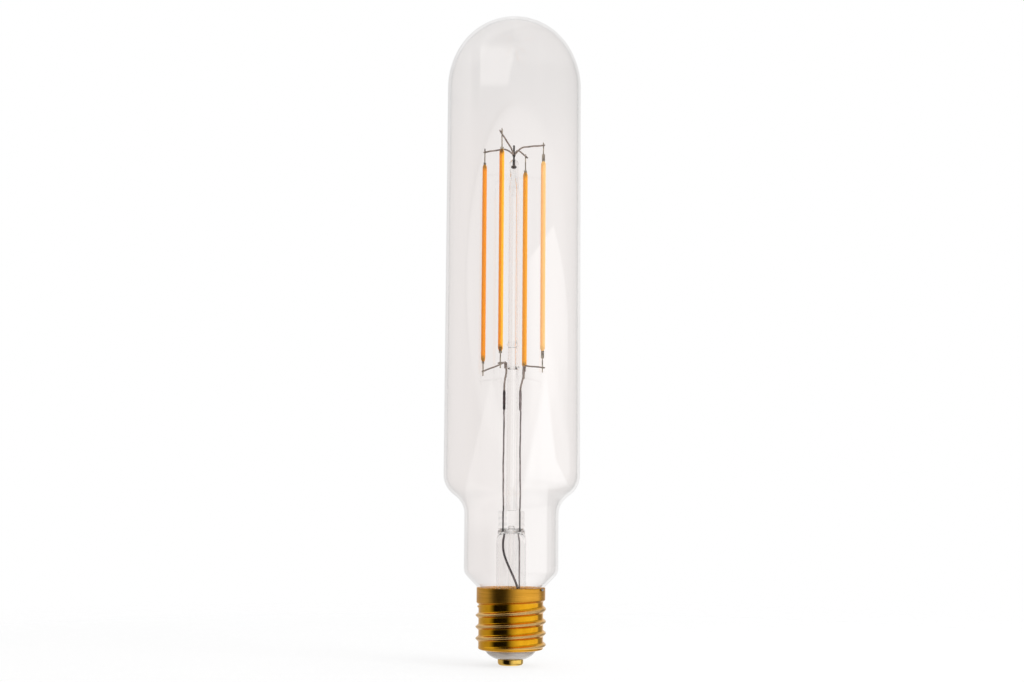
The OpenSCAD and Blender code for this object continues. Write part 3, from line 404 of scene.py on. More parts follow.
# Metal: darkest and lightest tone, grain per metre, roughness
armMetal = metalFinish("armMetal", (0.16, 0.125, 0.105), (0.42, 0.35, 0.31), 260, 0.42)
greyMetal = metalFinish("greyMetal", (0.09, 0.07, 0.068), (0.32, 0.27, 0.27), 320, 0.38)
darkMetal = metalFinish("darkMetal", (0.012, 0.006, 0.007), (0.055, 0.030, 0.033), 300, 0.36)
hubMetal = metalFinish("hubMetal", (0.02, 0.017, 0.015), (0.07, 0.055, 0.045), 300, 0.4)
endMetal = metalFinish("endMetal", (0.10, 0.085, 0.065), (0.50, 0.43, 0.33), 420, 0.34)
contactBrass = metalFinish("contactBrass", (0.88, 0.50, 0.08), (1.0, 0.68, 0.17), 120, 0.13, 0.1)
solderFinish = metalFinish("solder", (0.32, 0.31, 0.30), (0.62, 0.61, 0.60), 800, 0.45, 0.5)
tinFinish = metalFinish("tinnedWire", (0.5, 0.5, 0.48), (0.75, 0.75, 0.73), 500, 0.35)
capBrass = brassCapFinish()
# Plain stuff: two tones of its clouds, clouds per metre, roughness
insulatorFinish = plainFinish("insulatorGlass", (0.32, 0.272, 0.230), (0.46, 0.405, 0.352), 140, 0.22,
                              specular=1.0, glaze=1.0)
cementFinish = plainFinish("cement", (0.62, 0.56, 0.46), (0.80, 0.75, 0.66), 200, 0.85, bump=0.5)
boardFinish = plainFinish("board", (0.03, 0.16, 0.06), (0.05, 0.22, 0.09), 90, 0.4)
blackFinish = plainFinish("blackPart", (0.02, 0.02, 0.022), (0.045, 0.045, 0.05), 300, 0.5)
sleeveFinish = plainFinish("sleeve", (0.03, 0.035, 0.07), (0.05, 0.055, 0.10), 60, 0.35)
fuseFinish = plainFinish("fuse", (0.30, 0.45, 0.38), (0.38, 0.55, 0.46), 300, 0.4)
ceramicFinish = plainFinish("stripCeramic", (0.80, 0.80, 0.77), (0.90, 0.90, 0.88), 400, 0.5)
print("materials ready")

# Lamp glass
glassShape = dict(tube=38.2, neck=26.3, throat=16.6, wall=1.6, length=368.0, sideExtra=6.0, crownRise=4.0,
                  shoulderTop=105.2, shoulderAngle=52, edgeShare=0.45, footShare=0.39, cornerHeight=53.313,
                  neckAngle=44, neckCorner=6.6, throatFoot=3.0, throatBottom=31.2, columns=432)


# From a wide straight part down to a narrow one: full arc, straight slope, hollow arc
def slopeProfile(wide, top, narrow, angle, edge, foot, inset, steps):
    turn = math.radians(angle)
    slope = (wide - narrow - (edge + foot) * (1 - math.cos(turn))) / math.sin(turn)
    bottom = top - (edge + foot) * math.sin(turn) - slope * math.cos(turn)
    outer = arc(wide - edge, top, edge - inset, 0, -angle, steps)
    inner = arc(narrow + foot, bottom, foot + inset, 180 - angle, 180, steps)
    return np.vstack([outer, inner]), bottom


# Half outline of the lamp glass from the top of the dome down to the throat, moved in by the inset. The dome
# is a small arc over the crown and a wide one down each side.
def lampProfile(s, inset):
    crown = s["tube"] + s["sideExtra"] - math.hypot(s["sideExtra"], s["crownRise"])
    crownHeight = s["length"] - crown
    domeBottom = crownHeight - s["crownRise"]
    turn = math.degrees(math.atan2(s["crownRise"], s["sideExtra"]))
    top = arc(0, crownHeight, crown - inset, 90, turn, 26)[1:]
    side = arc(-s["sideExtra"], domeBottom, s["tube"] + s["sideExtra"] - inset, turn, 0, 18)[1:]
    step = (s["tube"] - s["neck"]) / (1 - math.cos(math.radians(s["shoulderAngle"])))
    shoulder, shoulderBottom = slopeProfile(s["tube"], s["shoulderTop"], s["neck"], s["shoulderAngle"],
                                            s["edgeShare"] * step, s["footShare"] * step, inset, 14)
    corner, throatTop = slopeProfile(s["neck"], s["cornerHeight"], s["throat"], s["neckAngle"],
                                     s["neckCorner"], s["throatFoot"], inset, 9)
    tube, neck, throat = s["tube"] - inset, s["neck"] - inset, s["throat"] - inset
    return np.vstack([top, side, line((tube, domeBottom), (tube, s["shoulderTop"]), 8)[1:-1], shoulder,
                      line((neck, shoulderBottom), (neck, s["cornerHeight"]), 4)[1:-1], corner,
                      line((throat, throatTop), (throat, s["throatBottom"] + 0.6), 3)[1:]])


# Outer and inner outline joined by a round rim at the throat, turned round the axis
def makeLampGlass(s):
    rim = arc(s["throat"] - s["wall"] / 2, s["throatBottom"] + 0.6, s["wall"] / 2, 0, -180, 8)[1:-1]
    profile = np.vstack([lampProfile(s, 0), rim, lampProfile(s, s["wall"])[::-1]])
    poles = (0, 0, s["length"]), (0, 0, s["length"] - s["wall"])
    addPiece("lampGlass", [gridSurface(revolve(profile, s["columns"]), *poles)], bulbGlass,
             "envelope")


makeLampGlass(glassShape)
print("lamp glass made")

# Stem: flare with pinch, exhaust tube, column, inner tube
flareShape = dict(radius=8.3, wall=1.2, rim=14.97, curveTop=39.1, pinchHalf=7.3, pinchThick=3.2,
                  pinchTop=84.9, pinchCrown=0.25, morphLow=67.7, morphHigh=76.2, cavityTop=73.7, ripple=0.12)
exhaustShape = dict(radius=1.9, bore=1.1, tip=36.0, top=76.7, edge=0.4)
columnShape = dict(radius=3.9, body=3.4, wall=0.8, bottom=85.18, top=166.2, hole=2.70, edge=0.4)
innerTubeShape = dict(radius=2.65, wall=0.6, bottom=164.6, top=285.4, solid=4.0, bead=178.4, point=14)


# Ring of a superellipse, wider across than it is deep, at one height
def ovalRing(halfX, halfY, power, height, columns=240):
    angle = fullTurn(columns)
    x, y = halfX * signedPower(np.cos(angle), 2 / power), halfY * signedPower(np.sin(angle), 2 / power)
    return np.stack([x, y, np.full(columns, height)], axis=1)


# Rings from the pinch's crown down over its flat sides, which blend to a round tube, out to the trumpet's rim
# and back up inside to a vaulted cavity under the solid pinch
def makeFlare(s):
    flat, deep, radius, bore = s["pinchHalf"], s["pinchThick"], s["radius"], s["radius"] - s["wall"]
    rings = [ovalRing(flat * share, deep * share, 2.6, s["pinchTop"] + s["pinchCrown"] * (1 - share ** 4))
             for share in (0.3, 0.6, 0.8, 0.92)]
    rings += [ovalRing(flat * share, deep * share, 3.2, s["pinchTop"] - down)
              for down, share in ((0.25, 0.985), (0.8, 1.0))]
    for height in np.linspace(s["pinchTop"] - 1.6, s["morphLow"], 44):
        t = float(smoothStep((height - s["morphLow"]) / (s["morphHigh"] - s["morphLow"])))
        swell = s["ripple"] * math.sin(height * 1.9) * t
        rings.append(ovalRing(radius + (flat - radius) * t + swell, radius + (deep - radius) * t + swell,
                              2 + 1.2 * t, height))
    curve = s["rim"] - radius
    outside = line((radius, s["morphLow"] - 2), (radius, s["curveTop"]), 11)
    trumpet = arc(s["rim"], s["curveTop"], curve, 180, 266, 12)[1:]
    inTrumpet = arc(s["rim"], s["curveTop"], curve + s["wall"], 266, 180, 12)
    inside = line((bore, s["curveTop"] + 2), (bore, s["morphLow"] - 1), 11)
    rings += [ovalRing(r, r, 2, z) for r, z in np.vstack([outside, trumpet, inTrumpet, inside])]
    for t in np.linspace(0.08, 0.97, 14):
        half = math.sqrt(1 - t * t)
        rings.append(ovalRing(bore * (0.35 + 0.65 * half), bore * (0.12 + 0.88 * half), 2,
                              s["morphLow"] + (s["cavityTop"] - s["morphLow"]) * t))
    poles = (0, 0, s["pinchTop"] + s["pinchCrown"]), (0, 0, s["cavityTop"])
    addPiece("flare", [gridSurface(np.stack(rings), *poles)], flareGlass, "stem_flare")


# Outer skin and bore are one outline over the rounded top edge, and each closes in a pole at the tip below
def makeExhaustTube(s):
    radius, bore, tip, edgeFoot = s["radius"], s["bore"], s["tip"] + s["radius"], s["top"] - s["edge"]
    skin = np.vstack([arc(0, tip, radius, -84, 0, 8)[:-1], line((radius, tip), (radius, edgeFoot), 14)])
    edge = arc((radius + bore) / 2, edgeFoot, (radius - bore) / 2, 0, 180, 10)[1:-1]
    inside = np.vstack([line((bore, edgeFoot), (bore, tip), 14)[:-1], arc(0, tip, bore, 0, -80, 6)])
    grid = revolve(np.vstack([skin, edge, inside]), 96)
    surface = gridSurface(grid, (0, 0, s["tip"]), (0, 0, tip - bore))
    addPiece("exhaustTube", [surface], stemGlass, "exhaust_tube")


# Drawn tube whose outside spreads smoothly to a foot on the pinch and to a rolled rim above
def makeColumn(s):
    low, high, body, bore = s["bottom"], s["top"], s["body"], s["body"] - s["wall"]
    z = np.concatenate([np.linspace(low + 0.3, low + 4, 10), np.linspace(low + 6, high - 4, 50),
                        np.linspace(high - 3, high - s["edge"], 10)])
    spread = np.maximum(1 - smoothStep((z - low) / 3.5), smoothStep((z - high + 2.2) / 1.6))
    outside = np.column_stack([body + (s["radius"] - body) * spread, z])
    rim = arc(s["radius"] - s["edge"], high - s["edge"], s["edge"], 0, 90, 5)[1:]
    lip = np.array([(s["hole"], high), (s["hole"], high - 1.5), (bore, high - 2.4)])
    inside = np.column_stack([bore + 0 * z, z])[z < high - 2.6][::-1]
    foot = arc(s["radius"] - 0.75, low + 0.3, 0.3, 200, 340, 5)[1:-1]
    grid = revolve(np.vstack([outside, rim, lip, inside, foot]), 120)
    addPiece("column", [gridSurface(grid, loop=True)], columnGlass, "stem_column")


# Domed tube with a round bead near its open foot; its bore closes in a long point, as drawn glass does
def makeInnerTube(s):
    r, top, bore, boreTop = s["radius"], s["top"], s["radius"] - s["wall"], s["top"] - s["solid"] - s["point"]
    outside = np.vstack([arc(0, top - r, r, 88, 0, 14), line((r, top - r), (r, s["bead"] + 1.15), 50)[1:],
                         arc(r - 1.0, s["bead"], 1.5, 46, -46, 10),
                         line((r, s["bead"] - 1.15), (r, s["bottom"] + 0.2), 10)])
    foot = arc(r - 0.3, s["bottom"] + 0.3, 0.3, 0, -180, 6)[1:-1]
    taper = np.linspace(0, 1, 16)[1:-1]
    inside = np.vstack([line((bore, s["bottom"] + 0.3), (bore, boreTop), 60),
                        np.column_stack([bore * (1 - taper ** 1.6), boreTop + s["point"] * taper])])
    grid = revolve(np.vstack([outside, foot, inside]), 96)
    addPiece("innerTube", [gridSurface(grid, (0, 0, top), (0, 0, top - s["solid"]))], tubeGlass,
             "inner_tube")


makeFlare(flareShape)
makeExhaustTube(exhaustShape)
makeColumn(columnShape)
makeInnerTube(innerTubeShape)
print("stem made")

# Hub and upper arms. Slopes and turns run left, front, back, right.
hubShape = dict(height=287.8, ball=0.95, wire=0.54, rise=5.9, drop=6.9, anchorBall=1.1)
armShape = dict(radius=0.47, reach=18.1, hubRise=44, start=2.4, bend=7.0, overhang=0.9, offset=0.84, gap=0.03)
slopes = [-3, 23.5, -7, -1]
turns = [158, 248, 68, -22]


# Upright wire whose radius is the greatest of the wire's own, a ball's where the arms are welded, and a round
# anchor's in the glass below
def makeHub(s):
    height, low, high = s["height"], s["height"] - s["drop"], s["height"] + s["rise"]
    z = np.concatenate([np.linspace(low - s["anchorBall"] * 0.98, low + s["anchorBall"], 16),
                        np.linspace(low + 1.4, height - 1.4, 8),
                        np.linspace(height - s["ball"], height + s["ball"], 14),
                        np.linspace(height + 1.4, high - 0.05, 8)])
    anchor = np.sqrt(np.clip(s["anchorBall"] ** 2 - (z - low) ** 2, 0, None))
    ball = np.sqrt(np.clip(s["ball"] ** 2 - (z - height) ** 2, 0, None))
    radius = np.maximum(np.maximum(anchor, ball), np.where(z > low, s["wire"], 0))
    grid = revolve(np.stack([radius, z], axis=1), 24)
    surface = gridSurface(grid, (0, 0, low - s["anchorBall"]), (0, 0, high))
    addPiece("hubWire", [surface], hubMetal, "hub_wire")


# Distance from the axis where an arm starts: clear of the ball, and of its neighbours at a right angle
def armStart(s):
    apart = (2 * s["radius"] + s["gap"]) / math.sqrt(2) / math.cos(math.radians(s["hubRise"]))
    return max(hubShape["ball"] + s["gap"], apart)


# Distance from the axis and height where the arm's bend has come down to a slope in degrees
def armKnee(s, slope):
    up, down, run = math.radians(s["hubRise"]), math.radians(slope), armStart(s) + s["start"]
    return (run * math.cos(up) + s["bend"] * (math.sin(up) - math.sin(down)),
            hubShape["height"] + run * math.sin(up) + s["bend"] * (math.cos(down) - math.cos(up)))


# Height of the arm where it meets its pin
def armHeight(s, slope):
    reach, height = armKnee(s, slope)
    return height + (s["reach"] - reach) * math.tan(math.radians(slope))


# From the hub up at its first slope, round a bend to its own slope, then straight past the pin, with a slight
# wave. Seen from above it passes the pin at its side.
def armPath(s, slope, turn):
    up, first = math.radians(s["hubRise"]), armStart(s)
    start = np.array([first * math.cos(up), hubShape["height"] + first * math.sin(up)])
    bend = np.array([armKnee(s, angle) for angle in np.linspace(s["hubRise"], slope, 22)])
    climb = s["overhang"] * math.tan(math.radians(slope))
    end = np.array([s["reach"] + s["overhang"], armHeight(s, slope) + climb])
    flat = np.vstack([line(start, bend[0], 6)[:-1], bend, line(bend[-1], end, 16)[1:]])
    flat[:, 1] += 0.07 * np.sin(flat[:, 0] * 0.9 + turn)
    return polar(flat[:, 0], math.radians(turn) - math.asin(s["offset"] / s["reach"]), flat[:, 1])


makeHub(hubShape)
for number, (slope, turn) in enumerate(zip(slopes, turns), 1):
    wirePiece(f"upperArm{number}", armPath(armShape, slope, turn), armShape["radius"], armMetal, "arm_wire",
              f"upper_arm_{number}")
print("hub and upper arms made")

# Filaments
filamentShape = dict(circle=18.1, bottom=169.0, top=285.7, width=2.7, depth=2.4, taper=1.6, tip=0.72,
                     clipWidth=1.7, clipDepth=1.1, pin=0.34, overTop=1.6, underBottom=2.6, gap=0.03,
                     columns=40)
# Per filament: shift upwards, own turn, bare metal end, the coat's two tones (deep is painted shade on the
# left flank, pale is painted light on the right), how gently they meet, tone of the coat's ends, and how far
# its lower arm lies under it
coats = [dict(lift=-0.6, spin=0, end=1.3, deep=(0.66, 0.215, 0.003), pale=(0.76, 0.255, 0.004), blend=0.5,
              tail=(0.22, 0.12, 0.01), drop=4.2),
         dict(lift=2.9, spin=0, end=1.3, deep=(0.72, 0.235, 0.003), pale=(0.90, 0.40, 0.016), blend=0.08,
              tail=(0.06, 0.035, 0.005), drop=5.5),
         dict(lift=-2.7, spin=0, end=1.3, deep=(0.72, 0.275, 0.003), pale=(0.78, 0.32, 0.008), blend=0.3,
              tail=(0.30, 0.15, 0.02), drop=2.7),
         dict(lift=1.2, spin=-60, end=4.2, deep=(0.80, 0.41, 0.14), pale=(0.84, 0.47, 0.18), blend=0.4,
              tail=(0.62, 0.38, 0.12), drop=5.1)]
lowerHeights = [filamentShape["bottom"] + coat["lift"] - coat["drop"] for coat in coats]


# A rounded box or oval bar: one section, scaled at each height, turned about the axis and moved to its centre
def barGrid(section, scale, heights, spin, centre):
    flat = section[None] * scale[:, None, None]
    tall = np.broadcast_to(heights[:, None, None], (*flat.shape[:2], 1))
    return np.concatenate([flat, tall], axis=2) @ turnMatrix(spin).T + centre


# Section of a bar from a circle's cosine and sine, raised to a power below 1
def barSection(s, depth, width, power):
    angle = fullTurn(s["columns"])
    x, y = depth / 2 * signedPower(np.cos(angle), power), width / 2 * signedPower(np.sin(angle), power)
    return np.stack([x, y], axis=1)


# Coated strip: an oval bar whose ends taper by a smooth step, with slight lumps of two sines
def makeCoat(s, number, turn, coat, centre, low, high):
    z = np.concatenate([low + s["taper"] * np.linspace(0, 1, 10) ** 1.4,
                        np.linspace(low + s["taper"] + 1, high - s["taper"] - 1, 100),
                        high - s["taper"] * np.linspace(1, 0, 10) ** 1.4])
    share = s["tip"] / (s["depth"] / 2)
    swell = share + (1 - share) * smoothStep(np.minimum(z - low, high - z) / s["taper"]) ** 0.6
    lumps = 1 + 0.012 * np.sin(z * 1.3 + number) + 0.010 * np.sin(z * 3.1 + 2 * number)
    section = barSection(s, s["depth"], s["width"], 0.85)
    grid = barGrid(section, swell * lumps, z, math.radians(turn + coat["spin"]), centre)
    surface = gridSurface(grid, centre + [0, 0, low - 0.05], centre + [0, 0, high + 0.05])
    finish = phosphorFinish(f"phosphor{number}", coat, turn, low * mm, high * mm)
    addPiece(f"coat{number}", [surface], finish, f"filament_coat_{number}")


# Folded metal end, a rounded box with a shallow bell shaped waist, and its pin, whose radius swells in a bell
# of weld at the arm
def makeEnd(s, place, number, turn, coat, centre, block, pinFrom, pinTo, arm):
    t = np.linspace(0, 1, 17)
    heights = block + (coat["end"] - s["gap"]) * t
    edge = np.clip(np.minimum(t, 1 - t) * coat["end"] / 0.2, 0, 1)
    shrink = (0.84 + 0.16 * np.sqrt(1 - (1 - edge) ** 2)) * (1 - 0.05 * np.exp(-((t - 0.5) / 0.08) ** 2))
    section = barSection(s, s["clipDepth"], s["clipWidth"], 0.3)
    grid = barGrid(section, shrink, heights, math.radians(turn + coat["spin"]), centre)
    clip = gridSurface(grid, centre + [0, 0, heights[0]], centre + [0, 0, heights[-1]])
    z = np.linspace(pinFrom, pinTo, 16)
    radius = s["pin"] * (1 + 0.35 * np.exp(-((z - arm) / 0.5) ** 2))
    path = np.stack([centre[0] + 0.03 * np.sin(z), centre[1] + 0 * z, z], axis=1)
    pin = gridSurface(*sweep(path, radius, 16))
    addPiece(f"{place}End{number}", [clip, pin], endMetal, f"{place}_end_{number}")


# One filament: its coat between two metal ends, whose pins reach past the upper and the lower arm
def makeFilament(s, number, turn, coat, topArm, lowArm):
    centre = polar(s["circle"], math.radians(turn), 0)
    bottom, top = s["bottom"] + coat["lift"], s["top"] + coat["lift"]
    low, high = bottom + coat["end"], top - coat["end"]
    makeCoat(s, number, turn, coat, centre, low, high)
    makeEnd(s, "top", number, turn, coat, centre, high + s["gap"], top - 0.8, topArm + s["overTop"], topArm)
    makeEnd(s, "bottom", number, turn, coat, centre, bottom, lowArm - s["underBottom"], bottom + 0.8, lowArm)


for number, (turn, slope, coat, lowArm) in enumerate(zip(turns, slopes, coats, lowerHeights), 1):
    makeFilament(filamentShape, number, turn, coat, armHeight(armShape, slope), lowArm)
print("filaments made")

# Lower arms and leads. Pairs are for the left and the right side.
lowerShape = dict(radius=0.45, circle=18.1, offset=0.82, overhang=0.9, gap=0.03, hookBend=1.2, hookLength=1.8)
supportShape = dict(radius=0.55, side=4.55, hooks=(168.2, 166.6), topPlaces=(4.6, 6.2), topTurns=(41, 0),
                    straight=4.5, gap=0.03)
spliceShape = dict(radius=0.8, top=152.8, bottom=141.6)
leadShape = dict(inner=0.44, wander=0.12, pinchTop=84.9, pinchBottom=72.8, left=0.62, right=0.45, end=4.3,
                 front=2.6, bottom=15.63)


# Where a support wire ends under its hooks, seen from above: its own distance from the axis, at its own turn
def supportTop(s, side):
    return polar(s["topPlaces"][side], math.radians((180, 0)[side] + s["topTurns"][side]), 0)[:2]


# From past the pin up along a slope to a hook that turns down along the support wire, with a slight wave that
# is nothing at either end
def lowerArmPath(s, support, turn, side, height):
    pin = polar(s["circle"], math.radians(turn) + (-1, 1)[side] * math.asin(s["offset"] / s["circle"]), 0)[:2]
    outward = (pin - supportTop(support, side)) / np.linalg.norm(pin - supportTop(support, side))
    leg = supportTop(support, side) + (support["radius"] + s["radius"] + s["gap"]) * outward
    hook, bend = support["hooks"][side], s["hookBend"]
    reach, climb = np.linalg.norm(pin - leg), hook - height
    slope, end = math.atan2(climb, reach - bend), reach + s["overhang"]
    # Distance outward from the hook's leg, and height from the hook's top
    arm = line((end, -climb - s["overhang"] * math.tan(slope)), (reach * 0.12, -climb * 0.12), 18)
    arm[:, 1] += 0.10 * np.sin(arm[:, 0] * 0.55 + turn) * np.sin(np.pi * (end - arm[:, 0]) / end)
    a = np.linspace(math.pi / 2 - slope, 0, 9)
    curve = np.stack([bend * (1 - np.cos(a)), -bend * (1 - np.sin(a))], axis=1)
    flat = np.vstack([arm, curve, line((0, -bend), (0, -bend - s["hookLength"]), 5)[1:]])
    return np.column_stack([leg + flat[:, 0:1] * outward, hook + flat[:, 1]])


# From the splice up, swinging round or away from the column by a smooth step, then straight to the hooks
def supportPath(s, side):
    low, top = spliceShape["top"] + s["gap"], s["hooks"][side] - lowerShape["radius"]
    t = np.linspace(0, 1, 26)
    share = smoothStep(t)
    bend = polar(s["side"] + (s["topPlaces"][side] - s["side"]) * share,
                 np.radians((180, 0)[side] + s["topTurns"][side] * share),
                 low + (top - s["straight"] - low) * t)
    return np.vstack([bend, line(bend[-1], (bend[-1][0], bend[-1][1], top - 0.1), 6)[1:]])


# Path and radius of a straight crimped sleeve, a little thicker in the middle and slightly wavy
def splicePath(s, side, sign):
    z = np.linspace(s["bottom"] + 0.5, s["top"] - 0.5, 34)
    middle = np.sin(np.pi * (z - s["bottom"]) / (s["top"] - s["bottom"]))
    radius = s["radius"] * (0.88 + 0.10 * middle + 0.05 * np.sin(z * 2.3 + side))
    return np.stack([sign * supportShape["side"] + 0 * z, 0 * z, z], axis=1), radius


# Nearly straight wire with a slow wander of two sines, none at its ends
def innerLeadPath(s, side, sign):
    low, high = s["pinchTop"] + 0.5, spliceShape["bottom"] - 0.1
    z = np.linspace(low, high, 60)
    fade = np.clip((high - z) * (z - low) * 0.02, 0, 1)
    away = s["wander"] * (1.2 + np.sin(z * 0.13 + 2 * side) + 0.4 * np.sin(z * 0.41)) * fade
    return np.stack([sign * (supportShape["side"] + away), 0 * z, z], axis=1)


# Down from the pinch by a smooth step, sideways within the share sway and forward clear of the exhaust tube
def outerLeadPath(s, start, end, front, sway):
    t = np.linspace(0, 1, 60)
    return np.stack([start + (end - start) * smoothStep((t - 0.12) / sway), front * smoothStep(t / 0.3),
                     s["pinchBottom"] + (s["bottom"] - s["pinchBottom"]) * t], axis=1)


for number, side in ((1, 0), (2, 0), (3, 1), (4, 1)):
    path = lowerArmPath(lowerShape, supportShape, turns[number - 1], side, lowerHeights[number - 1])
    wirePiece(f"lowerArm{number}", path, lowerShape["radius"], armMetal, "arm_wire", f"lower_arm_{number}")
for side, word, metal, slot in ((0, "Left", darkMetal, "dark_lead"), (1, "Right", greyMetal, "grey_lead")):
    sign, tail = (-1, 1)[side], word.lower()
    wirePiece("supportWire" + word, supportPath(supportShape, side), supportShape["radius"], armMetal,
              "arm_wire", "support_wire_" + tail)
    wirePiece("splice" + word, *splicePath(spliceShape, side, sign), metal, slot, "splice_" + tail)
    wirePiece("innerLead" + word, innerLeadPath(leadShape, side, sign), leadShape["inner"], greyMetal,
              "grey_lead", "inner_lead_" + tail)
path = outerLeadPath(leadShape, -supportShape["side"], leadShape["end"], -leadShape["front"], 0.5)
wirePiece("outerLeadLeft", path, leadShape["left"], darkMetal, "dark_lead", "outer_lead_left")
path = outerLeadPath(leadShape, supportShape["side"], leadShape["end"] + leadShape["right"], 0, 0.8)
wirePiece("outerLeadRight", path, leadShape["right"], greyMetal, "grey_lead", "outer_lead_right")
print("arms and leads made")

# Screw cap
capShape = dict(crest=19.55, root=18.0, collar=19.1, pitch=6.35, width=4.0, start=11.4, wall=0.45, bottom=8.2,
                lip=14.3, collarBottom=34.4, collarTop=42.6, fade=1.6, footLift=0.8, liftFrom=27, liftTo=35.5,
                liftSpan=6, columns=240, rows=230)
cementShape = dict(throatRadius=16.6, slotTurn=-28, slotHalf=3.3, low=32.7, high=39.39, shellGap=0.06,
                   glassGap=0.03, endRadius=17.3, endHeight=35.6)
# Outline as radius and height: recess for the contact, dome, seat in the shell's lip, disc above it, bore
insulatorShape = dict(recess=[(6.1, 4.1), (6.1, 3.75), (6.3, 3.6)],
                      dome=[(8.2, 3.6), (8.6, 3.66), (9.4, 4.0), (10.4, 4.5), (11.5, 5.15), (12.5, 5.9),
                            (13.3, 6.75), (13.8, 7.5)],
                      seat=[(14.0, 8.1), (14.0, 8.96)],
                      disc=[(16.7, 8.98), (16.8, 9.08), (16.8, 10.88), (16.7, 10.98)],
                      bore=[(2.1, 10.98), (2.03, 10.88), (2.03, 4.2), (2.1, 4.1)])
contactShape = dict(radius=7.1, edge=1.6, top=3.57, topEdge=0.5, stem=2.0, stemTop=12.2)
solderShape = dict(turn=-28, radius=19.7, height=41.7, halfDepth=0.55, halfWidth=0.95, halfHeight=0.72)


# Smooth foot of the band, from the thread's root out to the band
def bandFoot(s):
    t = np.linspace(0.06, 1, 12)
    radius = s["root"] + (s["collar"] - s["root"]) * smoothStep(t)
    return np.column_stack([radius, s["collarBottom"] - 0.4 + 1.3 * t])


# The band's foot follows the thread a little, higher on the right than on the left: a cosine of the turn that
# comes in and goes out by smooth steps of height
def footShift(s, height, turn):
    share = smoothStep((height - s["liftFrom"]) / s["liftSpan"])
    return s["footLift"] * np.cos(turn) * share * (1 - smoothStep((height - s["liftTo"]) / s["liftSpan"]))


# Rolled thread: the crest climbs one pitch per turn as a raised cosine, and runs out at both ends
def threadRadius(s, z, low, high, turn):
    climb = z[:, None] - s["start"] - s["pitch"] * turn[None] / (2 * np.pi)
    off = np.abs((climb + 8.5 * s["pitch"]) % s["pitch"] - s["pitch"] / 2)
    lift = np.where(off < s["width"] / 2, (1 + np.cos(2 * np.pi * off / s["width"])) / 2, 0)
    fade = smoothStep((z - low) / s["fade"]) * smoothStep((high - z) / s["fade"])
    return s["root"] + (s["crest"] - s["root"]) * lift * fade[:, None]


# Thin shell as one loop: lip, thread, foot and band outside, then rim, band, foot, thread and lip inside
def makeShell(s):
    turn, wall, lip, bottom = fullTurn(s["columns"]), s["wall"], s["lip"], s["bottom"]
    low, high = bottom + 0.9, s["collarBottom"] - 0.5
    z = np.linspace(low, high, s["rows"])
    thread = threadRadius(s, z, low, high, turn)
    foot = bandFoot(s)
    lipOut = np.array([(lip, bottom + 0.1), (lip + 0.1, bottom), (lip + 1.4, bottom),
                       (lip + 2.4, bottom + 0.2), (lip + 3.2, bottom + 0.5)])
    band = line((s["collar"], s["collarBottom"] + 1.1), (s["collar"], s["collarTop"] - 0.15), 15)
    rim = [(s["collar"] - 0.08, s["collarTop"] - 0.03), (s["collar"] - wall / 2, s["collarTop"]),
           (s["collar"] - wall + 0.06, s["collarTop"] - 0.03)]
    inside = s["collar"] - wall
    inBand = line((inside, s["collarTop"] - 0.2), (inside, s["collarBottom"] + 1.1), 7)
    inLip = np.array([(lip + 2.6, bottom + 0.75), (lip + 1.4, bottom + wall), (lip + 0.1, bottom + wall),
                      (lip, bottom + wall - 0.1)])
    collar = np.vstack([foot, band, rim, inBand, foot[::-1] - [wall, 0]])
    grid = np.concatenate([revolve(lipOut, s["columns"]), polar(thread, turn, z[:, None]),
                           revolve(collar, s["columns"]), polar(thread[::-4] - wall, turn, z[::-4, None]),
                           revolve(inLip, s["columns"])])
    grid[..., 2] += footShift(s, grid[..., 2], turn[None])
    addPiece("screwShell", [gridSurface(grid, loop=True)], capBrass, "screw_shell")


# Ring of cement between the glass throat and the shell, open where the soldered wire passes: its section is
# carried round the axis and follows the band's foot
def makeCement(s, shell):
    away, low, high = shell["wall"] + s["shellGap"], s["low"], s["high"]
    foot = bandFoot(shell) - [away, 0]
    inward, outward = s["throatRadius"] + s["glassGap"], foot[-1][0] + s["glassGap"]
    outer = np.vstack([line((shell["root"] - away, low), foot[0] - [0, 0.1], 4), foot,
                       line((outward, foot[-1][1] + 0.2), (outward, high), 10)])
    section = np.vstack([[(outer[0][0] + inward) / 2, low], outer, line((inward, high), (inward, low), 16)])
    start = s["slotTurn"] + s["slotHalf"]
    turn = np.radians(np.linspace(start, start + 360 - 2 * s["slotHalf"], 180))[:, None]
    height = np.clip(section[:, 1] + footShift(shell, section[:, 1], turn), low, high)
    ends = [polar(s["endRadius"], a, s["endHeight"]) for a in (turn[0, 0], turn[-1, 0])]
    addPiece("cement", [gridSurface(polar(section[:, 0], turn, height), *ends)], cementFinish,
             "capping_cement")


# Moulded grey dome in the shell's lip, round the contact: its outline in fine steps, turned round the axis
def makeInsulator(s):
    outline = np.array(s["recess"] + s["dome"] + s["seat"] + s["disc"] + s["bore"])
    fine = np.vstack([outline[:1]] + [line(a, b, 3)[1:] for a, b in zip(outline, outline[1:])])
    addPiece("insulator", [gridSurface(revolve(fine, 96), loop=True)], insulatorFinish,
             "cap_insulator")


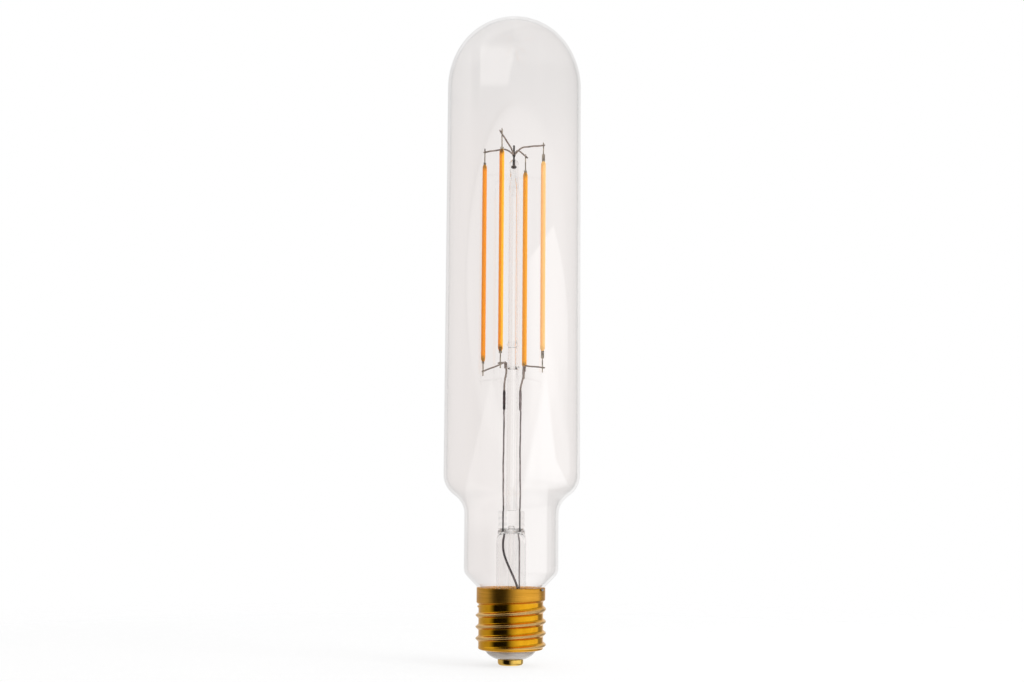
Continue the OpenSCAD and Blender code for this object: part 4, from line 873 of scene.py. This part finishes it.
# Turned button with a rounded lower and upper edge, and its stem
def makeContact(s):
    radius, edge, top, topEdge, stem = s["radius"], s["edge"], s["top"], s["topEdge"], s["stem"]
    profile = np.vstack([line((0.4, 0), (radius - edge - 0.3, 0), 6),
                         arc(radius - edge, edge, edge, -88, 0, 10),
                         line((radius, edge + 0.1), (radius, top - topEdge - 0.02), 5),
                         arc(radius - topEdge, top - topEdge, topEdge, 0, 90, 5)[1:],
                         line((radius - topEdge - 0.6, top), (stem + 0.1, top), 4),
                         line((stem, top + 0.03), (stem, s["stemTop"] - 0.1), 8),
                         line((stem - 0.1, s["stemTop"]), (0.4, s["stemTop"]), 3)])
    surface = gridSurface(revolve(profile, 72), (0, 0, 0), (0, 0, s["stemTop"]))
    addPiece("contact", [surface], contactBrass, "centre_contact")


# Small lump of solder on the rim with the clipped wire end in it: an oval ball with waves round and along
def makeSolder(s):
    turn, t, angle = math.radians(s["turn"]), np.radians(np.linspace(-80, 80, 17))[:, None], fullTurn(32)
    bumps = 1 + 0.10 * np.sin(3 * angle + 4 * t) + 0.06 * np.cos(5 * angle - 2 * t)
    ball = np.stack([s["halfDepth"] * np.cos(t) * np.cos(angle), s["halfWidth"] * np.cos(t) * np.sin(angle),
                     s["halfHeight"] * np.sin(t) + 0 * angle], axis=-1) * bumps[..., None]
    centre, pole = polar(s["radius"], turn, s["height"]), [0, 0, s["halfHeight"]]
    surface = gridSurface(ball @ turnMatrix(turn).T + centre, centre - pole, centre + pole)
    addPiece("solder", [surface], solderFinish, "side_solder")


makeShell(capShape)
makeCement(cementShape, capShape)
makeInsulator(insulatorShape)
makeContact(contactShape)
makeSolder(solderShape)
print("cap made")

# Inner CAD nodes that stay get their finishes
kept = {"driver_board": boardFinish, "electrolytic_capacitor": sleeveFinish, "inductor": blackFinish,
        "bridge_rectifier": blackFinish, "driver_chip": blackFinish, "fuse_resistor": fuseFinish,
        "centre_wire": tinFinish, "shell_wire": tinFinish, "seal_wire_left": darkMetal,
        "seal_wire_right": darkMetal}
kept.update({f"filament_strip_{n}": ceramicFinish for n in (1, 2, 3, 4)})
for node, material in kept.items():
    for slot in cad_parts[node].material_slots:
        slot.material = material

# Floor, world and lamp. The studio's tones: light on matt surfaces, then what mirrors see on the left, on the
# camera side, behind and on the right, and of the soft box below and above the level.
floorShape = dict(radius=0.7, height=-0.0002, inner=0.012, columns=96, glow=0.74, fadeFrom=0.3, fadeTo=0.68)
studio = dict(diffuse=0.95, left=0.5, dark=0.007, back=0.85, right=0.26, soft=0.93, softAbove=1.25)
lampFacts = dict(place=(0.9, -0.6, 0.6), target=(0, 0, 0.18), width=0.5, height=0.8, power=6)


# Pale round floor that fades out into the white round it and keeps the lamp's soft shadow: rings of points, a
# fan in the middle
def makeFloor(s):
    rings, columns = np.concatenate([[s["inner"]], np.linspace(0.03, s["radius"], 24)]), s["columns"]
    points = polar(rings[:, None], fullTurn(columns), s["height"]).reshape(-1, 3)
    points = np.vstack([points, [[0, 0, s["height"]]]])
    i, j = np.meshgrid(np.arange(len(rings) - 1) * columns, np.arange(columns), indexing="ij")
    nextJ = (j + 1) % columns
    quads = np.stack([i + j, i + columns + j, i + columns + nextJ, i + nextJ], axis=-1).reshape(-1, 4)
    fan = [[k, (k + 1) % columns, len(points) - 1] for k in range(columns)]
    mesh = bpy.data.meshes.new("floor")
    mesh.from_pydata(points.tolist(), [], quads.tolist() + fan)
    floor = bpy.data.objects.new("floor", mesh)
    scene.collection.objects.link(floor)
    f = Finish("floorWhite")
    eye, mirror, glass = f.outputs("LightPath", "Is Camera Ray", "Is Glossy Ray", "Is Transmission Ray")
    x, y = f.axes("X", "Y")
    fade = f.climb((x * x + y * y).maths("SQRT"), s["fadeFrom"], s["fadeTo"], curve="SMOOTHSTEP")
    fade = fade.maths("MAXIMUM", mirror)  # mirrors look through the floor at the world below it
    white = f.mix(f.noise(30, 2, 0.5), (0.93, 0.93, 0.93), (0.96, 0.96, 0.96))
    matt = f.node("BsdfPrincipled", Base_Color=white, Roughness=0.7, Specular_IOR_Level=0.1)
    glow = f.node("Emission", Color=(1, 1, 1), Strength=1.0)
    plain = f.mixShader(eye.maths("MAXIMUM", glass) * s["glow"], matt, glow)
    gone = f.node("BsdfTransparent", Color=(1, 1, 1))
    mesh.materials.append(f.finish(f.mixShader(fade, plain, gone)))


# White to the eye; pale grey with the shapes of soft boxes through the glass; mirrors see a dark camera side,
# a low soft box on the right and pale walls
def makeWorld(s):
    f = Finish("studio", "World")
    camera, glossy, through, depth = f.outputs("LightPath", "Is Camera Ray", "Is Glossy Ray",
                                               "Is Transmission Ray", "Transmission Depth")
    x, y, z = f.axes("X", "Y", "Z", source="Generated")

    def ease(value, start, end, low=0.0, high=1.0):
        return f.climb(value, start, end, low, high, "SMOOTHSTEP")

    def light(colour, strength=1.0):
        return f.node("Background", Color=colour, Strength=strength)

    # Degrees round the lamp from the camera side, right is positive; and degrees above the level
    turn = x.maths("ARCTAN2", -1 * y) * (180 / math.pi)
    rise = z.maths("ARCSINE") * (180 / math.pi)

    # What mirrors see: walls by their turn, as shares from behind on the left round to behind on the right
    tones = [(0.0, s["back"]), (0.10, s["left"]), (0.268, s["left"]), (0.33, s["dark"]), (0.47, s["dark"]),
             (0.53, s["right"]), (0.80, s["right"]), (0.84, 0.3), (0.90, 0.35), (0.94, s["back"])]
    walls = f.ramp(0.5 + turn / 360, [(share, (tone, tone, tone)) for share, tone in tones])
    # Low soft box on the right with a tent shaped upper edge, stronger above the level than below it
    box = ease(turn, -18, 40) * ease(turn, 118, 108) * ease(rise, -34, -18)
    box = box * ease(rise - (7 - abs(turn - 59) * 0.08), 1.2, -1.2)
    strength = ease(rise, -1.5, 1.5, s["soft"], s["softAbove"])
    tall = ease(rise, 20, 34) * (0.5 - 0.4 * ease(turn, -78, -56) * ease(turn, 6, -10))
    low = ease(rise, -30, -70) * (0.2 + 0.75 * ease(x, -0.15, 0.35))
    mirror = f.mix(low, f.mix(tall, walls, (1, 1, 1)), (1, 1, 1))
    mirror = f.mix(box, mirror, f.node("CombineColor", Red=strength, Green=strength, Blue=strength))

    # Behind the glass: shapes of soft boxes from x and the degrees above the level
    oval = (x - 0.003) * (x - 0.003) / 0.0335 ** 2 + (rise - 9.0) * (rise - 9.0) / 6.6 ** 2
    ovalLine = ease(abs(oval - 1.05), 0.09, 0.0) * ease(x, 0.01, -0.01) * ease(rise, 5, 8)
    pane = ease(x, -0.0225, -0.0215) * ease(x - (rise - 17.5) * 0.0036, 0.0010, -0.0010)
    pane = pane * ease(rise, 16.2, 16.5) * ease(rise, 18.0, 17.6)
    paneFrame = ease(abs(x + 0.0255), 0.0035, 0.001) * ease(rise, 15.2, 16.2) * ease(rise, 18.0, 17.4)
    # A sail with a bowed right edge and a slanting top
    over = (rise - 7).maths("MAXIMUM", 0.0)
    sail = ease(x - (0.0376 - 0.00062 * over * over), 0.0008, -0.0008) * ease(x - 0.0115, -0.003, 0.003)
    sail = sail * ease(x - (0.0127 + 0.0123 * (rise - 10)), -0.0010, 0.0010) * ease(rise, 2.5, 7.5)
    # Low right: a tent whose right edge sweeps out to a foot, over a thin dark line along the shoulder
    tentLeft = ease(0.0228 - x - (5.5 - rise) * 0.0034, 0.0024, -0.0018)
    tentRight = ease(x - 0.0228 - (5.5 - rise) * 0.0021, 0.0012, -0.0012)
    tentFoot = ease(x - 0.0294 - (2.33 - rise) * 0.0090, 0.0008, -0.0008) * ease(rise, 2.6, 2.3)
    tentFoot = tentFoot * ease(x, 0.020, 0.024)
    tent = (tentLeft * tentRight).maths("MAXIMUM", tentFoot) * ease(rise, 1.05, 1.25)
    shoulderLine = ease(abs(rise - 1.02 - (x - 0.024) * (x - 0.024) * 800), 0.13, 0.02)
    shoulderLine = shoulderLine * ease(x, 0.008, 0.020) * ease(x, 0.0395, 0.037)
    leftTent = ease(abs(x + 0.0135) - (5.4 - rise) * 0.0040, 0.0012, -0.0012)
    lowRight = ease(rise, 3.0, -1.0) * ease(x, -0.010, 0.012)
    neckWhite = ease(rise, 1.7, 0.9) * ease(x, 0.002, 0.014) * ease(x, 0.026, 0.0235)
    neckRight = ease(rise, 1.5, 0.8) * ease(x, 0.0238, 0.0255)
    neckLeft = ease(rise, 0.2, -0.8) * ease(x, -0.008, -0.016)
    # Where each layer lies, how much it covers, and its tone, from the first to the last
    layers = [(ease(x, 0.012, 0.036), 1.0, (0.935, 0.922, 0.917)),
              (ease(rise, 13, 17), 1.0, (0.83, 0.83, 0.83)),
              (ease(oval, 1.15, 0.85), 0.3, (1.01, 1.0, 0.995)),
              (ovalLine, 0.3, (0.76, 0.74, 0.73)),
              (pane, 0.6, (0.98, 0.98, 0.98)),
              (paneFrame, 0.4, (0.76, 0.76, 0.76)),
              (sail, 0.85, (1.06, 1.05, 1.045)),
              (tent, 0.9, (1.05, 1.05, 1.05)),
              (shoulderLine, 0.6, (0.78, 0.75, 0.735)),
              (leftTent, 0.35, (1.04, 1.03, 1.025)),
              (lowRight, 0.4, (0.96, 0.955, 0.95)),
              (neckWhite, 0.9, (0.99, 0.99, 0.99)),
              (neckRight, 0.7, (0.80, 0.80, 0.80)),
              (neckLeft, 0.5, (0.80, 0.78, 0.775))]
    shade = f.mix(ease(x, -0.022, 0.0), (0.862, 0.843, 0.836), (0.905, 0.892, 0.886))
    for place, cover, tone in layers:
        shade = f.mix(place * cover, shade, tone)
    front = f.mix(0.05, (0.95, 0.935, 0.93), mirror)
    behind = light(f.mix(ease(y, 0.0, 0.5), front, shade))

    # Reflections seen through glass are softer, as if the mirror world were paler
    shine = f.mixShader((depth > 0.5) * 0.75, light(mirror), light((0.93, 0.915, 0.91)))
    base = f.mixShader(glossy, light((1, 1, 1), s["diffuse"] + 0.5 * x), shine)
    base = f.mixShader(through, base, behind)
    scene.world = f.finish(f.mixShader(camera, base, light((1, 1, 1))))


# Soft lamp that lights matt surfaces only: what shines is the world's own soft boxes
def makeLamp(facts):
    data = bpy.data.lights.new("softRight", "AREA")
    data.shape = "RECTANGLE"
    data.size, data.size_y, data.energy = facts["width"], facts["height"], facts["power"]
    lamp = bpy.data.objects.new("softRight", data)
    scene.collection.objects.link(lamp)
    lamp.location = facts["place"]
    aim = Vector(facts["target"]) - Vector(facts["place"])
    lamp.rotation_euler = aim.to_track_quat("-Z", "Y").to_euler()
    lamp.visible_glossy = False
    lamp.visible_transmission = False


makeFloor(floorShape)
makeWorld(studio)
makeLamp(lampFacts)
scene.view_settings.view_transform = "Standard"
# Sight lines through lamp glass, flare and exhaust tube cross twelve and more surfaces
scene.cycles.max_bounces = 24
scene.cycles.transmission_bounces = 24
print("studio ready")
